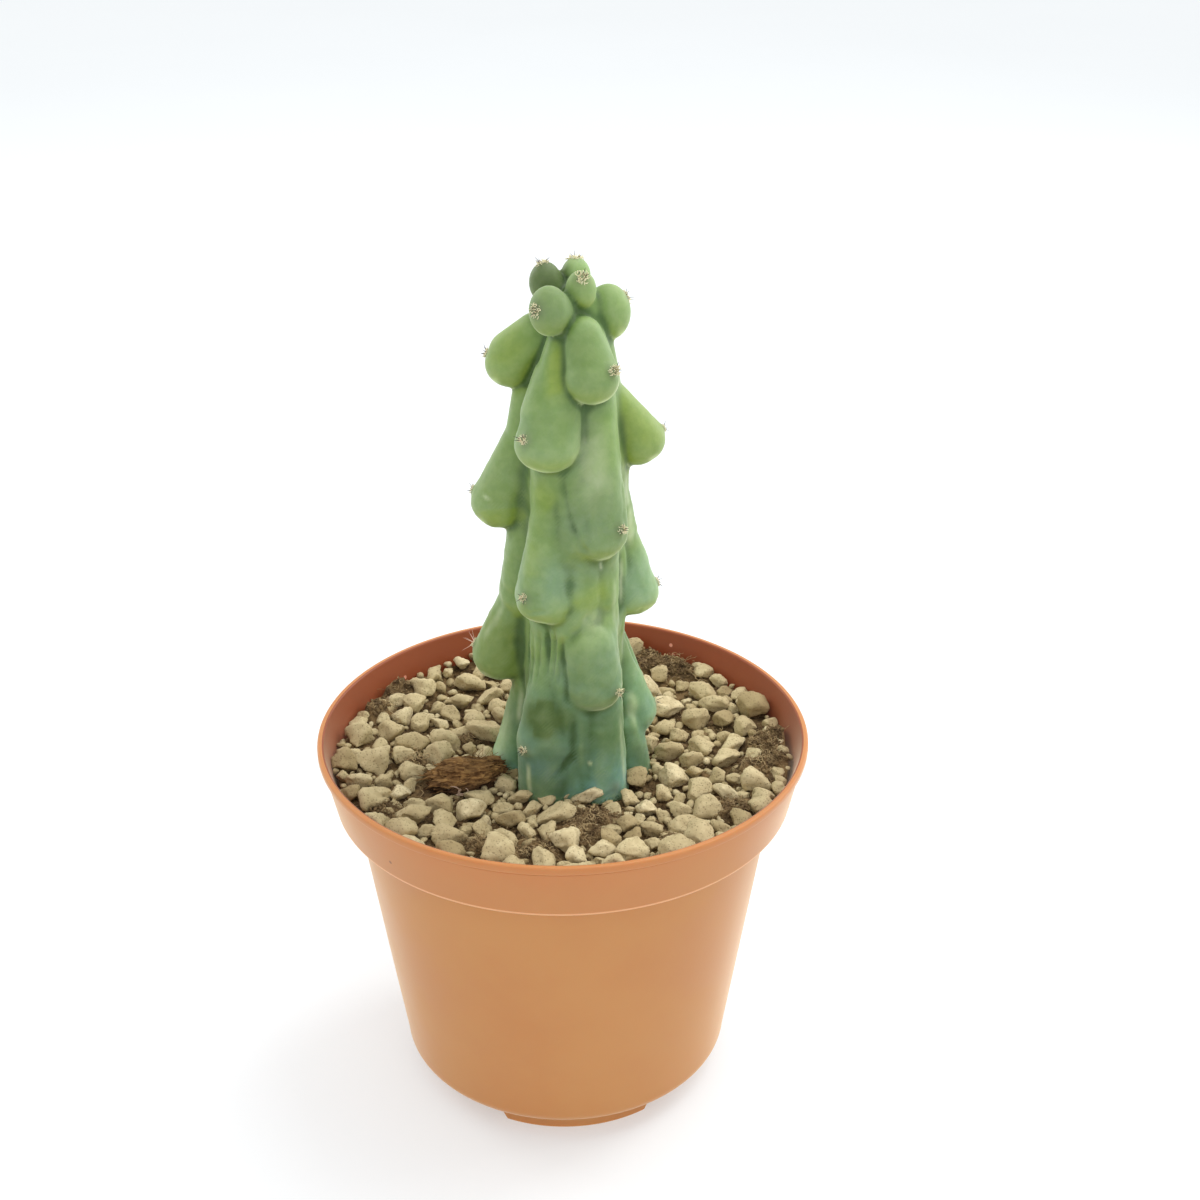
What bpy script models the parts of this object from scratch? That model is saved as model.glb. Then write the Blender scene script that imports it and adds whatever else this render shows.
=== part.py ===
"""Potted boobie cactus: a five-ribbed stem with drooping tubercles, in a moulded nursery pot.

Metres, +Z up. The origin is on the floor under the centre of the pot, and -Y is the front.
"""
import math
import random

import bmesh
import bpy
from mathutils import Euler, Matrix, Vector
from mathutils.bvhtree import BVHTree

MM = 0.001
GAP = 0.35 * MM              # clearance between pieces that touch on the real thing
MERGE = 0.01 * MM

# Pot: heights above the floor and outer radii.
POT_HEIGHT = 95.4 * MM
RIM_RADIUS = 60.0 * MM
LIP_DEPTH = 2.3 * MM
COLLAR_FOOT_Z = 80.1 * MM
COLLAR_FOOT_RADIUS = 56.4 * MM
BODY_TOP_RADIUS = 51.9 * MM
BODY_FOOT_RADIUS = 41.6 * MM
BODY_FOOT_Z = 9.8 * MM
UNDERSIDE_Z = 6.0 * MM
FOOT_RING_RADIUS = 35.0 * MM
FOOT_RING_WALL = 2.4 * MM
WALL = 1.4 * MM
POT_STEPS = 48

FOOT_COUNT = 3
FOOT_CENTRE_DEG = 5.0        # the middle of the front foot, counted from the front towards +X
FOOT_SPAN_DEG = 62.0
NOTCH_TOP_Z = 5.4 * MM
DRAIN_HOLES = 6
DRAIN_RADIUS = 4.0 * MM
DRAIN_CIRCLE = 20.0 * MM
DRAIN_FIRST_DEG = 34.0

# Filling: soil, the stones on it and one chip of bark.
SOIL_TOP_Z = 84.0 * MM
STONE_CENTRE_Z = 86.2 * MM
STONE_SEED = 11
STONE_TRIES = 2500
STONE_SIZES = (4.9 * MM, 4.1 * MM, 3.3 * MM)       # half lengths, laid from large to small
FIRST_STONE = (-38.0 * MM, -26.0 * MM)
# Each stone leans on one laid before it. Over their summed half lengths, this is how far it lies from that
# one, and at least from all others.
STONE_LEAN = 0.75
STONE_CLEAR = 0.85
STONE_FULLNESS = 1.15        # a stone's corners stand this far out of its mean size
STONE_HEIGHT = 0.75          # height over length
STONE_BUMP = 0.13
STONE_TILT_DEG = 20.0
BARK_PLACE = (-23.5 * MM, -11.5 * MM)
BARK_SIZE = (19.0 * MM, 9.0 * MM, 6.5 * MM)
BARK_TURN_DEG = 22.0
# Bare soil between the stones: x, y and radius.
BARE_PATCHES = (
    (11.0 * MM, -32.0 * MM, 7.0 * MM),
    (46.0 * MM, 12.0 * MM, 5.5 * MM),
    (47.0 * MM, -16.0 * MM, 6.0 * MM),
    (-40.0 * MM, 36.0 * MM, 5.5 * MM),
    (24.0 * MM, 48.0 * MM, 6.0 * MM),
)

# Stem: its axis, its five ribs and the tubercles on them.
PEG_RADIUS = 12.5 * MM
PEG_FOOT_Z = 66.0 * MM
PEG_TOP_Z = 92.0 * MM
AXIS_TOP_Z = 203.0 * MM
LEAN_AT_SOIL = 2.0 * MM
LEAN_AT_TOP = 4.2 * MM
# The core between the ribs: height and radius.
CORE = (
    (80.0 * MM, 13.5 * MM),
    (106.0 * MM, 12.0 * MM),
    (168.0 * MM, 11.5 * MM),
    (186.0 * MM, 9.0 * MM),
    (203.0 * MM, 5.5 * MM),
)
RIB_RADIUS = 5.8 * MM
RIB_GROWN_Z = 168.0 * MM
RIB_REACH_TOP = 7.5 * MM     # the ribs' reach from the axis at the apex
RIB_FLARE = 2.6 * MM         # and how much further they reach at the foot
RIB_FLARE_Z = 106.0 * MM
# Each rib: its azimuth from the front towards +X, and its reach where it is grown.
RIBS = (
    (-30.0, 14.6 * MM),
    (32.0, 14.4 * MM),
    (105.0, 13.0 * MM),
    (180.0, 14.0 * MM),
    (-102.0, 15.2 * MM),
)
# Each tubercle's areole: azimuth, height and reach in mm; how far it looks up; the tubercle's width in mm;
# and how far to the side of its areole the tubercle hangs. Angles in degrees, each rib from its top down.
TUBERCLES = (
    (-38.0, 206.0, 15.0, 15.0, 10.2, 0.0),
    (-34.0, 178.6, 21.0, 33.0, 15.4, 7.0),
    (-34.0, 139.6, 21.0, 30.0, 15.6, 7.0),
    (-34.0, 99.5, 21.0, 26.0, 14.6, 7.0),
    (10.0, 212.2, 4.8, 65.0, 7.2, 0.0),
    (30.0, 193.6, 17.0, 30.0, 12.8, -13.0),
    (36.0, 156.0, 18.6, 30.0, 13.5, -4.0),
    (34.0, 115.0, 19.0, 26.0, 15.6, -5.0),
    (34.0, 88.0, 19.0, 30.0, 15.0, 0.0),
    (105.0, 206.2, 11.2, 50.0, 10.8, 0.0),
    (105.0, 172.5, 21.3, 16.0, 15.0, 0.0),
    (105.0, 133.5, 22.0, 16.0, 15.0, 0.0),
    (105.0, 100.3, 21.5, 14.0, 15.0, 0.0),
    (188.0, 213.2, 5.0, 78.0, 7.4, 0.0),
    (180.0, 186.0, 19.5, 20.0, 13.5, 0.0),
    (180.0, 148.0, 22.5, 20.0, 15.5, 0.0),
    (180.0, 109.0, 22.5, 20.0, 15.5, 0.0),
    (-105.0, 211.8, 8.2, 80.0, 7.8, 0.0),
    (-102.0, 191.0, 21.2, 20.0, 12.6, 0.0),
    (-102.0, 157.0, 25.0, 18.0, 15.5, 0.0),
    (-102.0, 116.8, 25.0, 18.0, 15.5, 0.0),
    (-102.0, 86.0, 20.5, 30.0, 15.0, 0.0),
)
BELLY_SHARE = 0.5            # the swelling's depth and the areole's distance from its middle, over the width
BELLY_HEIGHTS = (0.40, 0.60)            # its half height over the width, on grown and on young tubercles
YOUNG_FROM_Z = 186.0 * MM
YOUNG_TO_Z = 208.0 * MM
STEM_VOXEL = 0.9 * MM
STEM_SMOOTHING = 5
STEM_KEPT_SHARE = 0.046

SPINE_SEED = 5
LOWEST_SPINES_Z = 96.0 * MM   # areoles below this lie among the stones
SPINES_PER_AREOLE = 3
SPINE_LENGTH = 2.6 * MM
SPINE_RADIUS = 0.28 * MM
SPINE_TIP = 0.05 * MM
SPINE_SPREAD_DEG = 42.0
SPINE_ROOT = 0.9 * MM

COLOURS = {
    "pot": ((0.60, 0.24, 0.10), 0.48),
    "potting_soil": ((0.07, 0.045, 0.03), 0.95),
    "pumice_gravel": ((0.56, 0.47, 0.36), 0.9),
    "bark_chip": ((0.16, 0.08, 0.04), 0.92),
    "cactus": ((0.26, 0.42, 0.22), 0.55),
}


def front_polar(radius, azimuth_deg, z=0.0):
    """A point at an azimuth counted from the front (-Y) towards the right (+X)."""
    azimuth = math.radians(azimuth_deg)
    return Vector((radius * math.sin(azimuth), -radius * math.cos(azimuth), z))


def blend(start, end, share):
    """A smooth step from start to end."""
    share = min(1.0, max(0.0, share))
    return start + (end - start) * share * share * (3.0 - 2.0 * share)


def clear_scene():
    for obj in list(bpy.data.objects):
        bpy.data.objects.remove(obj, do_unlink=True)


def new_collection(name):
    collection = bpy.data.collections.new(name)
    bpy.context.scene.collection.children.link(collection)
    return collection


def new_material(name):
    colour, roughness = COLOURS[name]
    material = bpy.data.materials.new(name)
    material.use_nodes = True
    shader = material.node_tree.nodes["Principled BSDF"]
    shader.inputs["Base Color"].default_value = (*colour, 1.0)
    shader.inputs["Roughness"].default_value = roughness
    shader.inputs["Metallic"].default_value = 0.0
    return material


def new_object(name, mesh, collection):
    obj = bpy.data.objects.new(name, mesh)
    collection.objects.link(obj)
    return obj


def mesh_from(bm, name):
    bmesh.ops.recalc_face_normals(bm, faces=bm.faces)
    mesh = bpy.data.meshes.new(name)
    bm.to_mesh(mesh)
    bm.free()
    return mesh


def bake(obj):
    """Applies an object's modifiers to its mesh."""
    evaluated = obj.evaluated_get(bpy.context.evaluated_depsgraph_get())
    mesh = bpy.data.meshes.new_from_object(evaluated)
    obj.modifiers.clear()
    obj.data = mesh


def dress(obj, smooth_deg=40.0):
    """Gives a finished piece its own material and smooth shading with sharp creases."""
    obj.data.materials.clear()
    obj.data.materials.append(new_material(obj.name))
    obj.data.shade_smooth()
    obj.data.set_sharp_from_angle(angle=math.radians(smooth_deg))


def add_boolean(obj, operation, other=None, collection=None):
    boolean = obj.modifiers.new(operation.lower(), "BOOLEAN")
    boolean.operation = operation
    if collection is None:
        boolean.object = other
    else:
        boolean.operand_type = "COLLECTION"
        boolean.collection = collection
    return boolean


def hide_cutter(obj):
    obj.hide_render = True
    obj.display_type = "WIRE"


def turned(name, profile, collection, steps=POT_STEPS):
    """A solid of revolution; its profile runs from the axis over the top and down the outer side."""
    mesh = bpy.data.meshes.new(name)
    edges = [(index, index + 1) for index in range(len(profile) - 1)]
    mesh.from_pydata([(radius, 0.0, z) for radius, z in profile], edges, [])
    obj = new_object(name, mesh, collection)
    screw = obj.modifiers.new("turn", "SCREW")
    screw.steps = steps
    screw.render_steps = steps
    screw.use_merge_vertices = True
    screw.merge_threshold = MERGE
    return obj


def cylinder(name, radius, foot_z, top_z, collection, segments=32, place=(0.0, 0.0)):
    bm = bmesh.new()
    bmesh.ops.create_cone(bm, cap_ends=True, cap_tris=False, segments=segments, radius1=radius,
                          radius2=radius, depth=top_z - foot_z)
    bmesh.ops.translate(bm, verts=bm.verts, vec=(*place, (top_z + foot_z) / 2.0))
    return new_object(name, mesh_from(bm, name), collection)


# Pot

def wall_radius(z):
    """The inner radius of the pot's collar at height z."""
    share = (z - COLLAR_FOOT_Z) / (POT_HEIGHT - COLLAR_FOOT_Z)
    return COLLAR_FOOT_RADIUS - WALL + share * (RIM_RADIUS - COLLAR_FOOT_RADIUS)


def pot_profile():
    floor_z = UNDERSIDE_Z + WALL
    ledge_z = COLLAR_FOOT_Z + WALL
    lip_z = POT_HEIGHT - LIP_DEPTH
    inner_foot = BODY_FOOT_RADIUS - WALL
    return (
        (0.0, floor_z),
        (inner_foot - 2.0 * MM, floor_z),
        (inner_foot, BODY_FOOT_Z + 0.6 * MM),
        (BODY_TOP_RADIUS - WALL, ledge_z - 0.5 * MM),
        (wall_radius(ledge_z), ledge_z),
        (wall_radius(POT_HEIGHT), POT_HEIGHT - 0.6 * MM),
        (RIM_RADIUS - 1.0 * MM, POT_HEIGHT),
        (RIM_RADIUS - 0.5 * MM, POT_HEIGHT),
        (RIM_RADIUS, POT_HEIGHT - 0.6 * MM),
        (RIM_RADIUS, lip_z + 0.4 * MM),
        (RIM_RADIUS - 0.7 * MM, lip_z),
        (COLLAR_FOOT_RADIUS, COLLAR_FOOT_Z + 0.4 * MM),
        (COLLAR_FOOT_RADIUS - 0.4 * MM, COLLAR_FOOT_Z),
        (BODY_TOP_RADIUS, COLLAR_FOOT_Z),
        (BODY_FOOT_RADIUS, BODY_FOOT_Z),
        (BODY_FOOT_RADIUS - 0.9 * MM, BODY_FOOT_Z - 1.8 * MM),
        (BODY_FOOT_RADIUS - 2.6 * MM, BODY_FOOT_Z - 3.1 * MM),
        (FOOT_RING_RADIUS + 0.9 * MM, UNDERSIDE_Z),
        (FOOT_RING_RADIUS, 0.5 * MM),
        (FOOT_RING_RADIUS - 0.4 * MM, 0.0),
        (FOOT_RING_RADIUS - FOOT_RING_WALL, 0.0),
        (FOOT_RING_RADIUS - FOOT_RING_WALL - 0.5 * MM, UNDERSIDE_Z),
        (0.0, UNDERSIDE_Z),
    )


def notch_cutter(index, cutters):
    """A block with slanted ends that breaks the foot ring between two feet."""
    centre_deg = FOOT_CENTRE_DEG + (index + 0.5) * 360.0 / FOOT_COUNT
    half_gap = math.radians((360.0 / FOOT_COUNT - FOOT_SPAN_DEG) / 2.0)
    half_width = FOOT_RING_RADIUS * math.sin(half_gap)
    inner = (FOOT_RING_RADIUS - FOOT_RING_WALL) * math.cos(half_gap) - 2.5 * MM
    outer = FOOT_RING_RADIUS + 3.0 * MM
    bm = bmesh.new()
    bmesh.ops.create_cube(bm, size=1.0)
    for vert in bm.verts:
        upper = vert.co.z > 0.0
        half = half_width - (1.5 * MM if upper else -1.5 * MM)
        vert.co.x = inner if vert.co.x < 0.0 else outer
        vert.co.y = math.copysign(half, vert.co.y)
        vert.co.z = NOTCH_TOP_Z if upper else -1.0 * MM
    bmesh.ops.rotate(bm, verts=bm.verts, matrix=Matrix.Rotation(math.radians(centre_deg - 90.0), 3, "Z"))
    cutter = new_object(f"notch_{index}", mesh_from(bm, "notch"), cutters)
    hide_cutter(cutter)
    return cutter


def build_pot(parts, cutters):
    pot = turned("pot", pot_profile(), parts)
    for index in range(FOOT_COUNT):
        add_boolean(pot, "DIFFERENCE", notch_cutter(index, cutters))
    for index in range(DRAIN_HOLES):
        place = front_polar(DRAIN_CIRCLE, DRAIN_FIRST_DEG + index * 360.0 / DRAIN_HOLES)
        hole = cylinder(f"drain_{index}", DRAIN_RADIUS, UNDERSIDE_Z - 2.0 * MM, UNDERSIDE_Z + WALL + 2.0 * MM,
                        cutters, segments=12, place=place.xy)
        hide_cutter(hole)
        add_boolean(pot, "DIFFERENCE", hole)
    dress(pot)
    return pot


# Stem

def stem_axis(z):
    """The stem's centre line at height z: upright, with a slight lean to the right."""
    share = (z - SOIL_TOP_Z) / (AXIS_TOP_Z - SOIL_TOP_Z)
    return Vector((LEAN_AT_SOIL + share * (LEAN_AT_TOP - LEAN_AT_SOIL), 0.0, z))


def on_rib(azimuth_deg, reach, z):
    return stem_axis(z) + front_polar(reach, azimuth_deg)


def rib_reach(grown_reach, z):
    """How far a rib stands from the axis at height z, between its tubercles."""
    if z < RIB_FLARE_Z:
        return grown_reach + RIB_FLARE * (RIB_FLARE_Z - z) / (RIB_FLARE_Z - CORE[0][0])
    return blend(grown_reach, RIB_REACH_TOP, (z - RIB_GROWN_Z) / (AXIS_TOP_Z - RIB_GROWN_Z))


def nearest_rib(azimuth_deg):
    return min(RIBS, key=lambda rib: abs((azimuth_deg - rib[0] + 180.0) % 360.0 - 180.0))


def add_hull(bm, balls):
    """Adds the smooth body stretched round some balls, each a centre, three radii and a turn about Z."""
    body = bmesh.new()
    for centre, radii, turn in balls:
        matrix = Matrix.Translation(centre) @ Matrix.Rotation(turn, 4, "Z") @ Matrix.Diagonal((*radii, 1.0))
        bmesh.ops.create_uvsphere(body, u_segments=16, v_segments=10, radius=1.0, matrix=matrix)
    bmesh.ops.delete(body, geom=body.edges[:], context="EDGES_FACES")
    hull = bmesh.ops.convex_hull(body, input=body.verts)
    spare = {item for item in hull["geom_interior"] if isinstance(item, bmesh.types.BMVert)}
    bmesh.ops.delete(body, geom=list(spare), context="VERTS")
    bmesh.ops.recalc_face_normals(body, faces=body.faces)
    mesh = bpy.data.meshes.new("hull")
    body.to_mesh(mesh)
    body.free()
    bm.from_mesh(mesh)
    bpy.data.meshes.remove(mesh)


def add_tubercle(bm, azimuth_deg, height, reach, look_up_deg, width, swing_deg):
    """One teardrop: it leaves the rib above, swells downwards and carries its areole on the outside."""
    look_up = math.radians(look_up_deg)
    belly_deg = azimuth_deg + swing_deg
    belly_z = height - BELLY_SHARE * width * math.sin(look_up)
    belly = on_rib(belly_deg, reach - BELLY_SHARE * width * math.cos(look_up), belly_z)
    root_z = min(height + 1.35 * width, AXIS_TOP_Z - 3.0 * MM)
    root_radius = 0.26 * width
    rib_deg, grown_reach = nearest_rib(azimuth_deg)
    youth = (height - YOUNG_FROM_Z) / (YOUNG_TO_Z - YOUNG_FROM_Z)
    half_height = width * blend(*BELLY_HEIGHTS, youth)
    root_reach = blend(max(0.0, rib_reach(grown_reach, root_z) - root_radius), 0.0, youth)
    root = on_rib(rib_deg, root_reach, root_z)
    add_hull(bm, ((belly, (0.47 * width, 0.48 * width, half_height), math.radians(belly_deg - 90.0)),
                  (root, (root_radius, root_radius, root_radius), 0.0)))
    nub = 0.09 * width
    areole = on_rib(azimuth_deg, reach - nub * math.cos(look_up), height - nub * math.sin(look_up))
    add_hull(bm, ((areole, (nub, nub, nub), 0.0), (belly, (0.3 * width,) * 3, 0.0)))


def add_rib(bm, azimuth_deg, grown_reach):
    """The ridge that joins a rib's tubercles: full below, drawn in towards the apex."""
    balls = []
    for z, _ in CORE:
        centre = on_rib(azimuth_deg, rib_reach(grown_reach, z) - RIB_RADIUS, min(z, AXIS_TOP_Z - RIB_RADIUS))
        balls.append((centre, (RIB_RADIUS,) * 3, 0.0))
    for pair in zip(balls, balls[1:]):
        add_hull(bm, pair)


def areoles():
    """Each areole: its place on the outside of its tubercle, and the way it looks."""
    for azimuth_deg, height_mm, reach_mm, look_up_deg, _, _ in TUBERCLES:
        place = on_rib(azimuth_deg, reach_mm * MM, height_mm * MM)
        look_up = math.radians(look_up_deg)
        yield place, front_polar(math.cos(look_up), azimuth_deg, math.sin(look_up))


def add_spine(bm, root, direction, length):
    """A three-sided needle with its root sunk in the areole."""
    turn = direction.to_track_quat("Z", "Y").to_matrix().to_4x4()
    middle = root + direction * (length / 2.0 - SPINE_ROOT)
    bmesh.ops.create_cone(bm, cap_ends=True, segments=3, radius1=SPINE_RADIUS, radius2=SPINE_TIP,
                          depth=length, matrix=Matrix.Translation(middle) @ turn)


def build_spines(collection):
    """A few short needles on every areole, fanned out round the way it looks."""
    rng = random.Random(SPINE_SEED)
    for number, (place, outward) in enumerate(areoles()):
        if place.z < LOWEST_SPINES_Z:
            continue
        sideways = outward.orthogonal().normalized()
        start = rng.uniform(0.0, 360.0)
        for index in range(SPINES_PER_AREOLE):
            bearing = math.radians(start + index * 360.0 / SPINES_PER_AREOLE)
            spread = math.radians(SPINE_SPREAD_DEG * rng.uniform(0.8, 1.15))
            away = Matrix.Rotation(bearing, 3, outward) @ sideways
            direction = (outward * math.cos(spread) + away * math.sin(spread)).normalized()
            bm = bmesh.new()
            add_spine(bm, place, direction, SPINE_LENGTH * rng.uniform(0.8, 1.2) + SPINE_ROOT)
            new_object(f"spine_{number}_{index}", mesh_from(bm, "spine"), collection)


def remove_collection(collection):
    for obj in list(collection.objects):
        bpy.data.objects.remove(obj, do_unlink=True)
    bpy.data.collections.remove(collection)


def build_cactus(parts, cutters):
    """The stem grows as one body: core, ribs, tubercles, root end and spines, all fused."""
    bm = bmesh.new()
    for (low, low_radius), (high, high_radius) in zip(CORE, CORE[1:]):
        add_hull(bm, ((stem_axis(low), (low_radius,) * 3, 0.0), (stem_axis(high), (high_radius,) * 3, 0.0)))
    for rib in RIBS:
        add_rib(bm, *rib)
    for azimuth_deg, height_mm, reach_mm, look_up_deg, width_mm, swing_deg in TUBERCLES:
        add_tubercle(bm, azimuth_deg, height_mm * MM, reach_mm * MM, look_up_deg, width_mm * MM, swing_deg)
    mesh = bpy.data.meshes.new("cactus")
    bm.to_mesh(mesh)
    bm.free()
    stem = new_object("cactus", mesh, parts)

    remesh = stem.modifiers.new("grow together", "REMESH")
    remesh.mode = "VOXEL"
    remesh.voxel_size = STEM_VOXEL
    smooth = stem.modifiers.new("soften", "SMOOTH")
    smooth.factor = 0.5
    smooth.iterations = STEM_SMOOTHING
    decimate = stem.modifiers.new("fewer faces", "DECIMATE")
    decimate.ratio = STEM_KEPT_SHARE
    bake(stem)

    ground = cylinder("ground", RIM_RADIUS, PEG_FOOT_Z, SOIL_TOP_Z + GAP, cutters)
    hide_cutter(ground)
    add_boolean(stem, "DIFFERENCE", ground)
    bake(stem)

    grown_on = new_collection("grown on the stem")
    cylinder("peg", PEG_RADIUS, PEG_FOOT_Z, PEG_TOP_Z, grown_on, segments=24, place=stem_axis(SOIL_TOP_Z).xy)
    build_spines(grown_on)
    add_boolean(stem, "UNION", collection=grown_on)
    bake(stem)
    remove_collection(grown_on)
    dress(stem, 60.0)
    return stem


# Filling

def build_soil(parts, cutters):
    """Peat that fills the pot to just under its rim, with a plain hole for the stem."""
    floor_z = UNDERSIDE_Z + WALL + GAP
    ledge_z = COLLAR_FOOT_Z + WALL + 0.8 * GAP
    inner_foot = BODY_FOOT_RADIUS - WALL
    profile = (
        (0.0, SOIL_TOP_Z),
        (wall_radius(SOIL_TOP_Z) - GAP, SOIL_TOP_Z),
        (wall_radius(ledge_z) - 1.5 * GAP, ledge_z),
        (BODY_TOP_RADIUS - WALL - GAP, ledge_z - 0.5 * MM),
        (inner_foot - GAP, BODY_FOOT_Z + 0.6 * MM),
        (inner_foot - 2.3 * MM, floor_z),
        (0.0, floor_z),
    )
    soil = turned("potting_soil", profile, parts)
    hole = cylinder("stem_hole", PEG_RADIUS + GAP, PEG_FOOT_Z - GAP, SOIL_TOP_Z + 5.0 * MM, cutters,
                    segments=24, place=stem_axis(SOIL_TOP_Z).xy)
    hide_cutter(hole)
    add_boolean(soil, "DIFFERENCE", hole)
    dress(soil)
    return soil


def in_patch(x, y, radius):
    """Whether a stone would lie on one of the bare patches, or under the stem or the bark."""
    spots = BARE_PATCHES + ((*stem_axis(SOIL_TOP_Z).xy, PEG_RADIUS), (*BARK_PLACE, BARK_SIZE[1] / 2.0))
    return any(math.hypot(x - px, y - py) < patch + 0.4 * radius for px, py, patch in spots)


def lay_stones(trees):
    """Places for the stones: a dense layer, each leaning on another, clear of stem, bark and wall."""
    rng = random.Random(STONE_SEED)
    wall = wall_radius(STONE_CENTRE_Z) - GAP
    stones = [(*FIRST_STONE, STONE_SIZES[0])]
    for size in STONE_SIZES:
        for _ in range(STONE_TRIES):
            parent = rng.choice(stones)
            parent_x, parent_y, parent_radius = parent
            bearing = rng.uniform(0.0, math.tau)
            radius = size * rng.uniform(0.88, 1.12)
            away = STONE_LEAN * (parent_radius + radius)
            x = parent_x + away * math.cos(bearing)
            y = parent_y + away * math.sin(bearing)
            crowded = any(math.hypot(x - other[0], y - other[1]) < STONE_CLEAR * (radius + other[2])
                          for other in stones if other is not parent)
            if crowded or in_patch(x, y, radius) or math.hypot(x, y) > wall - radius * STONE_FULLNESS:
                continue
            room = min(tree.find_nearest(Vector((x, y, STONE_CENTRE_Z)))[3] for tree in trees)
            if room > radius * STONE_FULLNESS + GAP:
                stones.append((x, y, radius))
    return stones


def add_stone(name, place, radius, rng, collection):
    """One angular pumice stone: a low icosahedron, squashed, knocked about and turned."""
    bm = bmesh.new()
    bmesh.ops.create_icosphere(bm, subdivisions=1, radius=1.0)
    for vert in bm.verts:
        vert.co *= 1.0 + rng.uniform(-STONE_BUMP, STONE_BUMP)
    length = radius * STONE_FULLNESS
    size = Matrix.Diagonal((length, length * rng.uniform(0.75, 0.95), length * STONE_HEIGHT, 1.0))
    tilt = math.radians(STONE_TILT_DEG)
    turn = Euler((rng.uniform(-tilt, tilt), rng.uniform(-tilt, tilt), rng.uniform(0.0, math.tau))).to_matrix()
    bmesh.ops.transform(bm, matrix=Matrix.Translation(place) @ turn.to_4x4() @ size, verts=bm.verts)
    return new_object(name, mesh_from(bm, name), collection)


def keep_largest(obj):
    """Drops the loose scraps of a fused body."""
    bm = bmesh.new()
    bm.from_mesh(obj.data)
    pending = set(bm.verts)
    groups = []
    while pending:
        group = {pending.pop()}
        front = list(group)
        while front:
            vert = front.pop()
            for edge in vert.link_edges:
                other = edge.other_vert(vert)
                if other in pending:
                    pending.remove(other)
                    group.add(other)
                    front.append(other)
        groups.append(group)
    groups.sort(key=len)
    scraps = [vert for group in groups[:-1] for vert in group]
    bmesh.ops.delete(bm, geom=scraps, context="VERTS")
    bm.to_mesh(obj.data)
    bm.free()
    return len(groups) - 1


def build_gravel(stem, bark, parts, cutters):
    """The stones fused into one layer that lies on the soil."""
    depsgraph = bpy.context.evaluated_depsgraph_get()
    trees = [BVHTree.FromObject(obj, depsgraph) for obj in (stem, bark)]
    rng = random.Random(STONE_SEED)
    heap = new_collection("stones")
    stones = lay_stones(trees)
    for number, (x, y, radius) in enumerate(stones):
        lift = rng.uniform(-0.5 * MM, 0.8 * MM)
        add_stone(f"stone_{number}", Vector((x, y, STONE_CENTRE_Z + lift)), radius, rng, heap)
    gravel = heap.objects[0]
    heap.objects.unlink(gravel)
    parts.objects.link(gravel)
    gravel.name = "pumice_gravel"
    add_boolean(gravel, "UNION", collection=heap)
    bake(gravel)
    remove_collection(heap)
    bed = cylinder("soil_bed", RIM_RADIUS, SOIL_TOP_Z - 20.0 * MM, SOIL_TOP_Z + GAP, cutters)
    hide_cutter(bed)
    add_boolean(gravel, "DIFFERENCE", bed)
    bake(gravel)
    dropped = keep_largest(gravel)
    print("stones laid", len(stones), "scraps dropped", dropped)
    dress(gravel)
    return gravel


def build_bark(parts):
    """A split chunk of bark, longer than wide, with its fibres along it."""
    rng = random.Random(STONE_SEED + 1)
    bm = bmesh.new()
    bmesh.ops.create_cube(bm, size=1.0)
    bmesh.ops.subdivide_edges(bm, edges=bm.edges[:], cuts=2, use_grid_fill=True)
    for vert in bm.verts:
        taper = 1.0 - 0.35 * abs(vert.co.x) * 2.0
        vert.co.y *= taper
        vert.co.z = (vert.co.z + 0.5) * (0.65 + 0.35 * taper)
        vert.co.x *= 1.0 + rng.uniform(-0.08, 0.08)
        vert.co.y *= 1.0 + rng.uniform(-0.15, 0.15)
        vert.co.z *= 1.0 + rng.uniform(-0.15, 0.1)
    bmesh.ops.triangulate(bm, faces=bm.faces)
    place = Matrix.Translation((*BARK_PLACE, SOIL_TOP_Z + GAP))
    turn = Matrix.Rotation(math.radians(BARK_TURN_DEG), 4, "Z")
    bmesh.ops.transform(bm, matrix=place @ turn @ Matrix.Diagonal((*BARK_SIZE, 1.0)), verts=bm.verts)
    bark = new_object("bark_chip", mesh_from(bm, "bark_chip"), parts)
    dress(bark)
    return bark


def build():
    clear_scene()
    parts = new_collection("potted boobie cactus")
    cutters = new_collection("cutters")
    build_pot(parts, cutters)
    stem = build_cactus(parts, cutters)
    build_soil(parts, cutters)
    bark = build_bark(parts)
    build_gravel(stem, bark, parts, cutters)


build()
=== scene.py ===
# %% [markdown]
# # A potted boobie cactus
# The object is a young column cactus of a chance form whose spine cushions sit on swollen, drooping tubercles.
# It stands in a moulded nursery pot, in peat with a dressing of pumice stones. A plain solid model of it exists
# already, in metres, with the pot standing on the floor at the origin and its front looking along -Y.
# This lesson keeps those sizes and places and gives every piece the form and finish of the real one. It starts
# by loading the solids, because all that follows is measured on them.

# %% Load the solid model
import math
import random

import bmesh
import bpy
import numpy as np
from mathutils import Euler, Matrix, Vector


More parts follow.
